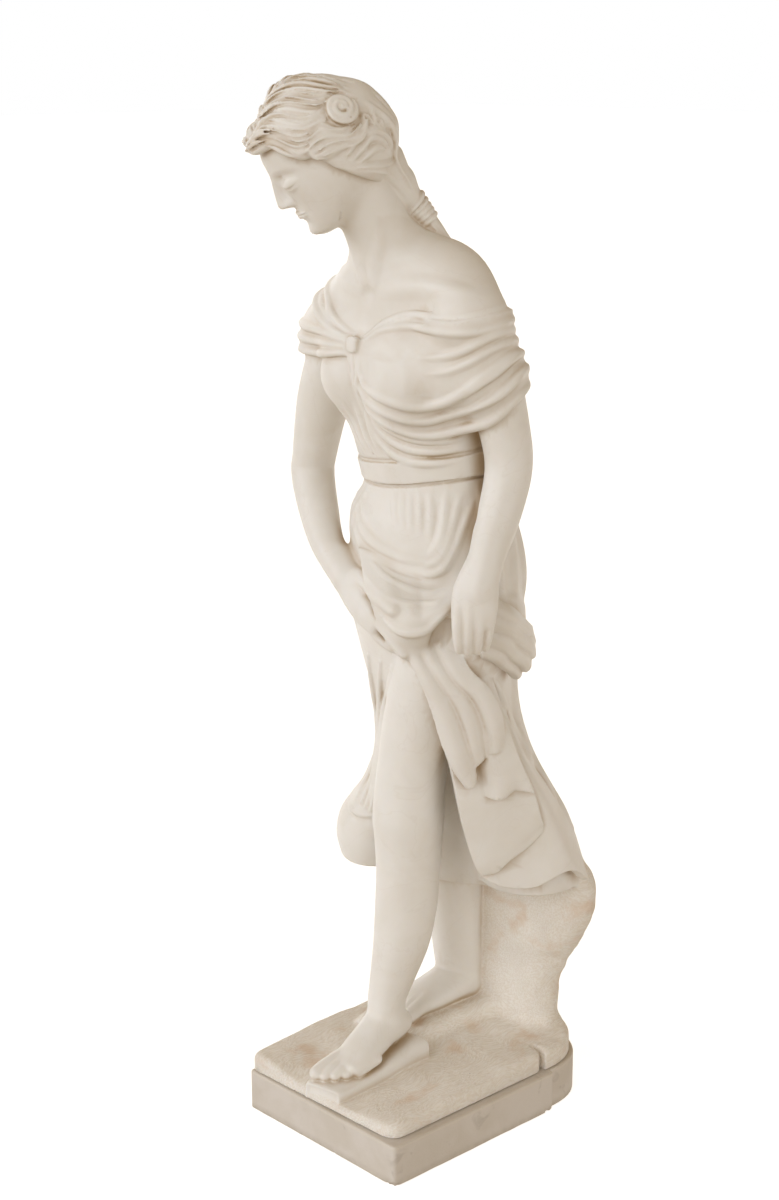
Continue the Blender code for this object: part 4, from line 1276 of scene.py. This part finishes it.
def number(tree, operation, a, b=0.0, c=0.0, limit=False):
    """One sum of up to three numbers, held between 0 and 1 with `limit`."""
    return add(tree, "ShaderNodeMath", {"operation": operation, "use_clamp": limit}, _0=a, _1=b, _2=c)


def ramp(tree, value, low, high):
    """0 below low, 1 above high, soft between; the other way round when high is less than low."""
    return add(tree, "ShaderNodeMapRange", {"interpolation_type": "SMOOTHSTEP"}, Value=value, From_Min=low,
               From_Max=high)


def tint(tree, share, under, over):
    """One colour laid over another; share says how much."""
    over = srgb(over) if isinstance(over, str) else over
    under = srgb(under) if isinstance(under, str) else under
    return add(tree, "ShaderNodeMix", {"data_type": "RGBA"}, _0=share, _6=under, _7=over)


def clouds(tree, place, cell, detail=3.0, twist=0.0):
    """Soft noise from 0 to 1 whose swellings are about `cell` metres across."""
    return add(tree, "ShaderNodeTexNoise", Vector=place, Scale=1 / cell, Detail=detail, Distortion=twist)


def strokes(tree, place, size, turn=0.0, bend=0.0):
    """Noise drawn out into short strokes: size is their extent along x, y and z, turned about z by `turn`
    degrees, and swung about by soft noise of strength `bend`."""
    if bend:
        sway = add(tree, "ShaderNodeTexNoise", Vector=place, Scale=14.0, Detail=1.0).node.outputs["Color"]
        sway = add(tree, "ShaderNodeVectorMath", {"operation": "SUBTRACT"}, _0=sway, _1=(0.5, 0.5, 0.5))
        place = add(tree, "ShaderNodeVectorMath", {"operation": "MULTIPLY_ADD"}, _0=sway,
                    _1=(bend, bend, bend),
                    _2=place)
    place = add(tree, "ShaderNodeMapping", Vector=place, Rotation=(0, 0, math.radians(turn)),
                Scale=[1 / v for v in size])
    return add(tree, "ShaderNodeTexNoise", Vector=place, Scale=1.0, Detail=2.0, Roughness=0.55)


def pit_shade(tree, place, spots):
    """Small spots painted near-black as the shade in pits that are not carved: 1 within each spot's radius, 0
    outside, from rows of x, y, z and radius.
    """
    total = 0.0
    for x, y, z, r in spots:
        away = add(tree, "ShaderNodeVectorMath", {"operation": "DISTANCE"}, _0=place, _1=(x, y, z))
        total = number(tree, "MAXIMUM", total, ramp(tree, away.node.outputs["Value"], r * 1.4, r * 0.7))
    return total


# where the painted shade of the uncarved pits goes: x, y, z and radius
PIT_SHADE = [
    (0.070, 0.020, 0.130, 0.0016), (0.090, 0.060, 0.092, 0.0020), (0.080, -0.010, 0.090, 0.0016),
    (0.112, 0.030, 0.090, 0.0012),
    (-0.020, -0.090, 0.705, 0.0016),
]


def white_marble_worked():
    """White marble: honed on skin and cloth, where it is creamy with a soft clouded tone and warm painted
    shade in the hollows; left from the rasp on rock and ground, where strokes break the light and hold dust."""
    material, tree, place = start("white_marble_worked")
    rasped, hollow = noted(tree, "rasped"), noted(tree, "hollow")
    # broad warm and cool clouds, 70 mm across, then 12 mm ones
    tone = tint(tree, ramp(tree, clouds(tree, place, 0.070, 4.0, 0.6), 0.35, 0.70), "f0eeea", "ebe8e2")
    tone = tint(tree, number(tree, "MULTIPLY", clouds(tree, place, 0.012, 3.0), 0.20), tone, "e6dfd3")
    # faint grey-brown veins where stretched noise crosses its middle value
    vein = number(tree, "ABSOLUTE", number(tree, "SUBTRACT", clouds(tree, place, 0.16, 5.0, 1.2), 0.5))
    tone = tint(tree, number(tree, "MULTIPLY", ramp(tree, vein, 0.008, 0.0), 0.06), tone, "b8a68c")
    # painted warm shade in folds, strands and under edges, mottled by soft clouds
    patchy = number(tree, "MULTIPLY_ADD", clouds(tree, place, 0.030), 0.5, 0.6)
    painted_shade = number(tree, "MULTIPLY", hollow, patchy, limit=True)
    tone = tint(tree, number(tree, "MULTIPLY", painted_shade, 0.85), tone, "b0915f")
    # rasped stone: strokes as long as 16 mm and 2 mm across, dust and rusty stains
    comb = strokes(tree, place, (0.0022, 0.016, 0.0024), 40.0, 0.050)
    dust = tint(tree, ramp(tree, comb, 0.35, 0.65), "eee6da", "fbf7f0")
    stain = ramp(tree, clouds(tree, place, 0.055, 3.0), 0.52, 0.72)
    dust = tint(tree, number(tree, "MULTIPLY", stain, 0.55), dust, "dcb893")
    tone = tint(tree, number(tree, "MULTIPLY", rasped, 0.75), tone, dust)
    # painted shade: near-black spots where small pits would be, not carved into the stone
    tone = tint(tree, pit_shade(tree, place, PIT_SHADE), tone, "2a231c")
    # the surface: rasp strokes of 2 mm on rough stone, only a breath of unevenness on honed stone
    fine = number(tree, "MULTIPLY", number(tree, "SUBTRACT", comb, 0.5),
                  number(tree, "MULTIPLY", rasped, 0.0016))
    soft = number(tree, "MULTIPLY", number(tree, "SUBTRACT", clouds(tree, place, 0.009, 2.0), 0.5), 0.00012)
    relief = add(tree, "ShaderNodeBump", Height=number(tree, "ADD", fine, soft), Distance=1.0, Strength=1.0)
    rough = number(tree, "MULTIPLY_ADD", rasped, 0.42, 0.40)
    shader = add(tree, "ShaderNodeBsdfPrincipled", Base_Color=tone, Roughness=rough, IOR=1.5, Normal=relief,
                 Subsurface_Weight=0.12, Subsurface_Scale=0.003, Subsurface_Radius=(1.0, 0.75, 0.5))
    add(tree, "ShaderNodeOutputMaterial", Surface=shader)
    return material


def sawn_marble_plinth():
    """Sawn marble under a coat of old dust: flat and greyer than the carving, with smudges, faint drag
    marks and darker dirt along the foot."""
    material, tree, place = start("sawn_marble_plinth")
    tone = tint(tree, ramp(tree, clouds(tree, place, 0.060, 4.0, 0.4), 0.35, 0.70), "dad3cb", "d2cabf")
    smudge = ramp(tree, clouds(tree, place, 0.035, 4.0, 1.0), 0.60, 0.74)
    tone = tint(tree, number(tree, "MULTIPLY", smudge, 0.35), tone, "a79d92")
    drag = strokes(tree, place, (0.050, 0.050, 0.0030))
    tone = tint(tree, number(tree, "MULTIPLY", ramp(tree, drag, 0.50, 0.80), 0.08), tone, "dbd3c8")
    tone = tint(tree, noted(tree, "worn"), tone, "ded6c9")
    height = add(tree, "ShaderNodeSeparateXYZ", Vector=place).node.outputs["Z"]
    dirt = number(tree, "MULTIPLY", clouds(tree, place, 0.012), 0.7)
    foot = number(tree, "MULTIPLY", ramp(tree, height, 0.014, 0.0), dirt)
    tone = tint(tree, foot, tone, "8d7f6c")
    grain = number(tree, "MULTIPLY", clouds(tree, place, 0.0035, 4.0), 0.00035)
    relief = add(tree, "ShaderNodeBump", Height=grain, Distance=1.0, Strength=1.0)
    shader = add(tree, "ShaderNodeBsdfPrincipled", Base_Color=tone, Roughness=0.72, IOR=1.5, Normal=relief)
    add(tree, "ShaderNodeOutputMaterial", Surface=shader)
    return material


def skin_mesh(name, points, faces, material):
    """A smooth mesh from points and quads or triangles."""
    mesh = bpy.data.meshes.new(name)
    mesh.vertices.add(len(points))
    mesh.vertices.foreach_set("co", points.astype(np.float32).ravel())
    mesh.loops.add(faces.size)
    mesh.loops.foreach_set("vertex_index", faces.astype(np.int32).ravel())
    mesh.polygons.add(len(faces))
    mesh.polygons.foreach_set("loop_start", np.arange(len(faces), dtype=np.int32) * faces.shape[1])
    mesh.update(calc_edges=True)
    mesh.shade_smooth()
    mesh.materials.append(material)
    return mesh


def piece(name, points, faces, material):
    """An object at the origin."""
    thing = bpy.data.objects.new(name, skin_mesh(name, points, faces, material))
    bpy.context.scene.collection.objects.link(thing)
    return thing


def one_shell(points, corners):
    """The largest connected shell, without the double triangles that lie flat on each other: every point
    takes the lowest number among its triangles' points, until each shell has one number."""
    _, back, count = np.unique(np.sort(corners, axis=1), axis=0, return_inverse=True, return_counts=True)
    corners = corners[count[back.ravel()] == 1]
    number = np.arange(len(points))
    while True:
        lower = number.copy()
        np.minimum.at(lower, corners.ravel(), np.repeat(number[corners].min(1), 3))
        lower = lower[lower]
        if (lower == number).all():
            break
        number = lower
    owner = number[corners[:, 0]]
    used, corners = np.unique(corners[owner == np.bincount(owner).argmax()], return_inverse=True)
    return points[used], corners.reshape(-1, 3)


def thin_out(thing, triangles):
    """Collapses edges where that moves the surface least, down to a number of triangles."""
    step = thing.modifiers.new("thin", "DECIMATE")
    count = sum(len(p.vertices) - 2 for p in thing.data.polygons)
    step.ratio = triangles / count
    shrunk = bpy.data.meshes.new_from_object(thing.evaluated_get(bpy.context.evaluated_depsgraph_get()))
    shrunk.calc_loop_triangles()
    points = np.empty(3 * len(shrunk.vertices), np.float32)
    corners = np.empty(3 * len(shrunk.loop_triangles), np.int32)
    shrunk.vertices.foreach_get("co", points)
    shrunk.loop_triangles.foreach_get("vertices", corners)
    thing.modifiers.clear()
    points, corners = one_shell(points.reshape(-1, 3), corners.reshape(-1, 3))
    thing.data = skin_mesh(thing.name, points, corners, shrunk.materials[0])


def read(thing):
    """The vertices of a piece and the directions their surface faces."""
    mesh = thing.data
    points, facing = (np.empty(len(mesh.vertices) * 3, np.float32) for _ in range(2))
    mesh.vertices.foreach_get("co", points)
    mesh.vertex_normals.foreach_get("vector", facing)
    return points.reshape(-1, 3).astype(float), facing.reshape(-1, 3).astype(float)


def note(thing, name, values):
    """Keeps one number a vertex for the stone's shader."""
    thing.data.attributes.new(name, "FLOAT", "POINT").data.foreach_set("value", values.astype(np.float32))


def by_the_face(thing):
    """A piece's points in the head's frame, and how far forward the face stands at each."""
    own = (read(thing)[0] - HEAD) @ HEAD_FRAME.T
    return own, face_front(own[:, 0], np.clip(own[:, 2], -0.099, 0.060))


def finish_face(thing):
    """Splits the edges of the face once and sets its points on the face's own surface, which is finer than
    the block's grid; the setting fades out towards the hair, the temples and the chin."""
    own, goal = by_the_face(thing)
    x, y, z = own.T
    near = (np.abs(x) < 0.050) & (z < 0.014) & (z > -0.104) & (np.abs(y - goal) < 0.008)
    ends = np.empty(2 * len(thing.data.edges), np.int32)
    thing.data.edges.foreach_get("vertices", ends)
    form = bmesh.new()
    form.from_mesh(thing.data)
    form.edges.ensure_lookup_table()
    edges = [form.edges[i] for i in np.nonzero(near[ends.reshape(-1, 2)].all(1))[0]]
    bmesh.ops.subdivide_edges(form, edges=edges, cuts=1, use_grid_fill=True)
    bmesh.ops.triangulate(form, faces=[f for f in form.faces if len(f.verts) > 4])
    form.to_mesh(thing.data)
    form.free()
    own, goal = by_the_face(thing)
    x, y, z = own.T
    # 1 well within the face, 0 past its edges and where the surface is not the face's
    within = ((0.047 - np.abs(x)) / 0.010, (0.012 - z) / 0.010, (z + 0.100) / 0.010,
              (0.0060 - np.abs(y - goal)) / 0.0030)
    trust = np.prod(np.clip(within, 0, 1), axis=0) * (y > 0)
    own[:, 1] += trust * (goal - y)
    thing.data.vertices.foreach_set("co", (HEAD + own @ HEAD_FRAME).astype(np.float32).ravel())
    thing.data.update()
    thing.data.shade_smooth()


def make_figure():
    """The figure's piece, with what its stone's shader reads at each vertex."""
    block, stone = carve_figure()
    points, quads = block.skin()
    figure = piece("statue_figure", points, quads, white_marble_worked())
    finish_face(figure)
    thin_out(figure, FIGURE_TRIANGLES)
    points, facing = read(figure)
    # rasped where the surface is still that of the rock and the ground, honed where it is figure or cloth
    note(figure, "rasped", np.clip(1.8 - stone.depth(points) / 0.0012, 0, 1))
    # hollow where stone lies close before the surface, near edges counting most: the stone's shader paints
    # warm shade by this amount
    far, near = (block.depth(points + reach * facing) / reach for reach in (0.014, 0.005))
    note(figure, "hollow", np.clip(0.75 * np.maximum(1 - far, 0) ** 1.2 + 0.6 * (0.9 - near), 0, 1))
    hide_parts("figure")
    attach(figure, "root")


def make_plinth():
    """The plinth is a square with a rounded tongue carried straight up, its edges eased, its corners worn
    and chipped: distance to the plan and to the two ends, met with a small rounding, less the chips."""
    rng = np.random.default_rng(11)
    m = Block((-0.164, -0.169, -0.005), (0.164, 0.280, 0.068), PLINTH_PITCH, 0.012)
    x, y, z = (((np.arange(n) + low) * m.pitch).astype(np.float32) for n, low in zip(m.size, m.low))
    square = np.array([(-1, -1), (1, -1), (1, 1), (-1, 1)]) * (PLINTH_WIDE / 2, PLINTH_DEEP / 2)
    line = np.concatenate([square[:3], tongue(0.130, 0.020, PLINTH_DEEP / 2, 60), square[3:]])
    wall = flat_distance(x[:, None], y[None], line)[..., None]
    lid = np.abs(z - PLINTH_HIGH / 2) - PLINTH_HIGH / 2
    edge = 0.0022
    a, b = wall + edge, lid + edge
    body = np.minimum(np.maximum(a, b), 0) + np.hypot(np.maximum(a, 0), np.maximum(b, 0)) - edge
    m.field = np.clip(body.astype(np.float32), -m.far, m.far)
    m.field += 0.0003 * mottle(m.size, 0.020 / m.pitch, rng)
    # upright corners are worn back, and chips are struck out of them and of the edges
    for corner in square:
        foot = np.array((*corner, 0.0))
        path = foot + np.linspace(-0.01, 0.075, 30)[:, None] * (0, 0, 1) + 0.0042 * unit(foot)
        m.cut(cord(path, 0.0062, 0.02, 1.0), 0.003)
    for cx, cy, cz, r in CHIPS:
        m.cut(ball((cx, cy, cz), (r, r, r * rng.uniform(0.7, 1.3))), 0.0008)
    points, quads = m.skin()
    plinth = piece("statue_plinth", points, quads, sawn_marble_plinth())
    thin_out(plinth, PLINTH_TRIANGLES)
    points, facing = read(plinth)
    inside = m.depth(points - 0.006 * facing) / -0.006
    note(plinth, "worn", np.clip((0.80 - inside) * 2.5, 0, 1))
    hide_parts("plinth")
    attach(plinth, "root")


PLINTH_WIDE, PLINTH_DEEP, PLINTH_HIGH = 0.315, 0.325, 0.061
CHIPS = [  # x, y, z and radius, at the front corner and along its edges
    (0.1590, -0.1640, 0.054, 0.0040), (0.1580, -0.1630, 0.046, 0.0030), (0.1592, -0.1638, 0.039, 0.0036),
    (0.1584, -0.1632, 0.030, 0.0028), (0.1590, -0.1640, 0.022, 0.0038), (0.1586, -0.1634, 0.014, 0.0040),
    (0.1570, -0.1650, 0.003, 0.0065), (0.1500, -0.1640, 0.001, 0.0050), (0.1420, -0.1635, 0.000, 0.0036),
    (0.1590, -0.1560, 0.000, 0.0044), (0.1590, 0.1500, 0.001, 0.0060), (0.1600, 0.1600, 0.004, 0.0060),
    (-0.1590, -0.1640, 0.010, 0.0040), (-0.1585, -0.1630, 0.040, 0.0030), (0.1590, 0.0100, 0.0600, 0.0022),
    (-0.0400, -0.1640, 0.0010, 0.0030), (0.0300, -0.1642, 0.0000, 0.0034),
]


def make_stage():
    """A wide pale floor, which throws no light back on the statue."""
    mesh = bpy.data.meshes.new("floor")
    mesh.from_pydata([(-40, -40, 0), (40, -40, 0), (40, 40, 0), (-40, 40, 0)], [], [(0, 1, 2, 3)])
    floor = bpy.data.objects.new("floor", mesh)
    bpy.context.scene.collection.objects.link(floor)
    material, tree, _ = start("pale_floor")
    shader = add(tree, "ShaderNodeBsdfPrincipled", Base_Color=srgb("f8f7f5"), Roughness=1.0,
                 Specular_IOR_Level=0.0,
                 Emission_Color=(1.0, 1.0, 1.0, 1.0), Emission_Strength=0.75)
    add(tree, "ShaderNodeOutputMaterial", Surface=shader)
    mesh.materials.append(material)
    floor.visible_diffuse = False


def make_camera():
    """A view from the statue's left front, a little above its head and looking down."""
    turn, drop = math.radians(46.97), math.radians(14.9)
    eye = bpy.data.cameras.new("view")
    eye.lens, eye.sensor_width, eye.sensor_fit = 62.25, 36.0, "AUTO"
    holder = bpy.data.objects.new("view", eye)
    bpy.context.scene.collection.objects.link(holder)
    holder.location = (2.034, -1.924, 1.53)
    aim = Vector((-math.sin(turn) * math.cos(drop), math.cos(turn) * math.cos(drop), -math.sin(drop)))
    holder.rotation_euler = aim.to_track_quat("-Z", "Y").to_euler()
    bpy.context.scene.camera = holder


def make_light():
    """Four wide soft lamps round the statue at the height of a window, the strongest before it and to its
    right, in a dim warm room with a pale skyline: flat tops stay quiet and the folds shade warmly."""
    world = bpy.data.worlds.new("studio")
    world.use_nodes = True
    tree = world.node_tree
    tree.nodes.clear()
    way = add(tree, "ShaderNodeTexCoord").node.outputs["Generated"]
    up = add(tree, "ShaderNodeSeparateXYZ", Vector=way).node.outputs["Z"]
    skyline = ramp(tree, number(tree, "ABSOLUTE", number(tree, "ADD", up, 0.01)), 0.09, 0.06)
    # the room itself is only light: behind the statue it looks as pale as the skyline
    seen = add(tree, "ShaderNodeLightPath").node.outputs["Is Camera Ray"]
    glow = tint(tree, number(tree, "MAXIMUM", skyline, seen), ROOM, (1.0, 1.0, 1.0, 1.0))
    add(tree, "ShaderNodeOutputWorld", Surface=add(tree, "ShaderNodeBackground", Color=glow, Strength=1.0))
    bpy.context.scene.world = world
    for name, way, strength, colour in LAMPS:
        light = bpy.data.lights.new(name, "SUN")
        light.energy, light.angle, light.color = strength, math.radians(40), colour
        holder = bpy.data.objects.new(name, light)
        bpy.context.scene.collection.objects.link(holder)
        holder.rotation_euler = (-Vector(way)).to_track_quat("-Z", "Y").to_euler()
    bpy.context.scene.view_settings.view_transform = "Standard"


ROOM = (0.36, 0.27, 0.165, 1.0)
LAMPS = [  # where each soft lamp stands from the statue, its strength and its colour
    ("window_front", (0.20, -1.0, 0.40), 0.82, (0.94, 1.0, 1.08)),
    ("window_right", (-0.60, -0.80, 0.35), 0.84, (0.93, 1.0, 1.10)),
    ("window_left", (0.95, 0.05, 0.20), 0.52, (0.94, 1.0, 1.06)),
    ("window_back", (-0.90, 0.30, 0.30), 0.46, (1.0, 1.0, 1.0)),
]


make_figure()
make_plinth()
make_stage()
make_camera()
make_light()
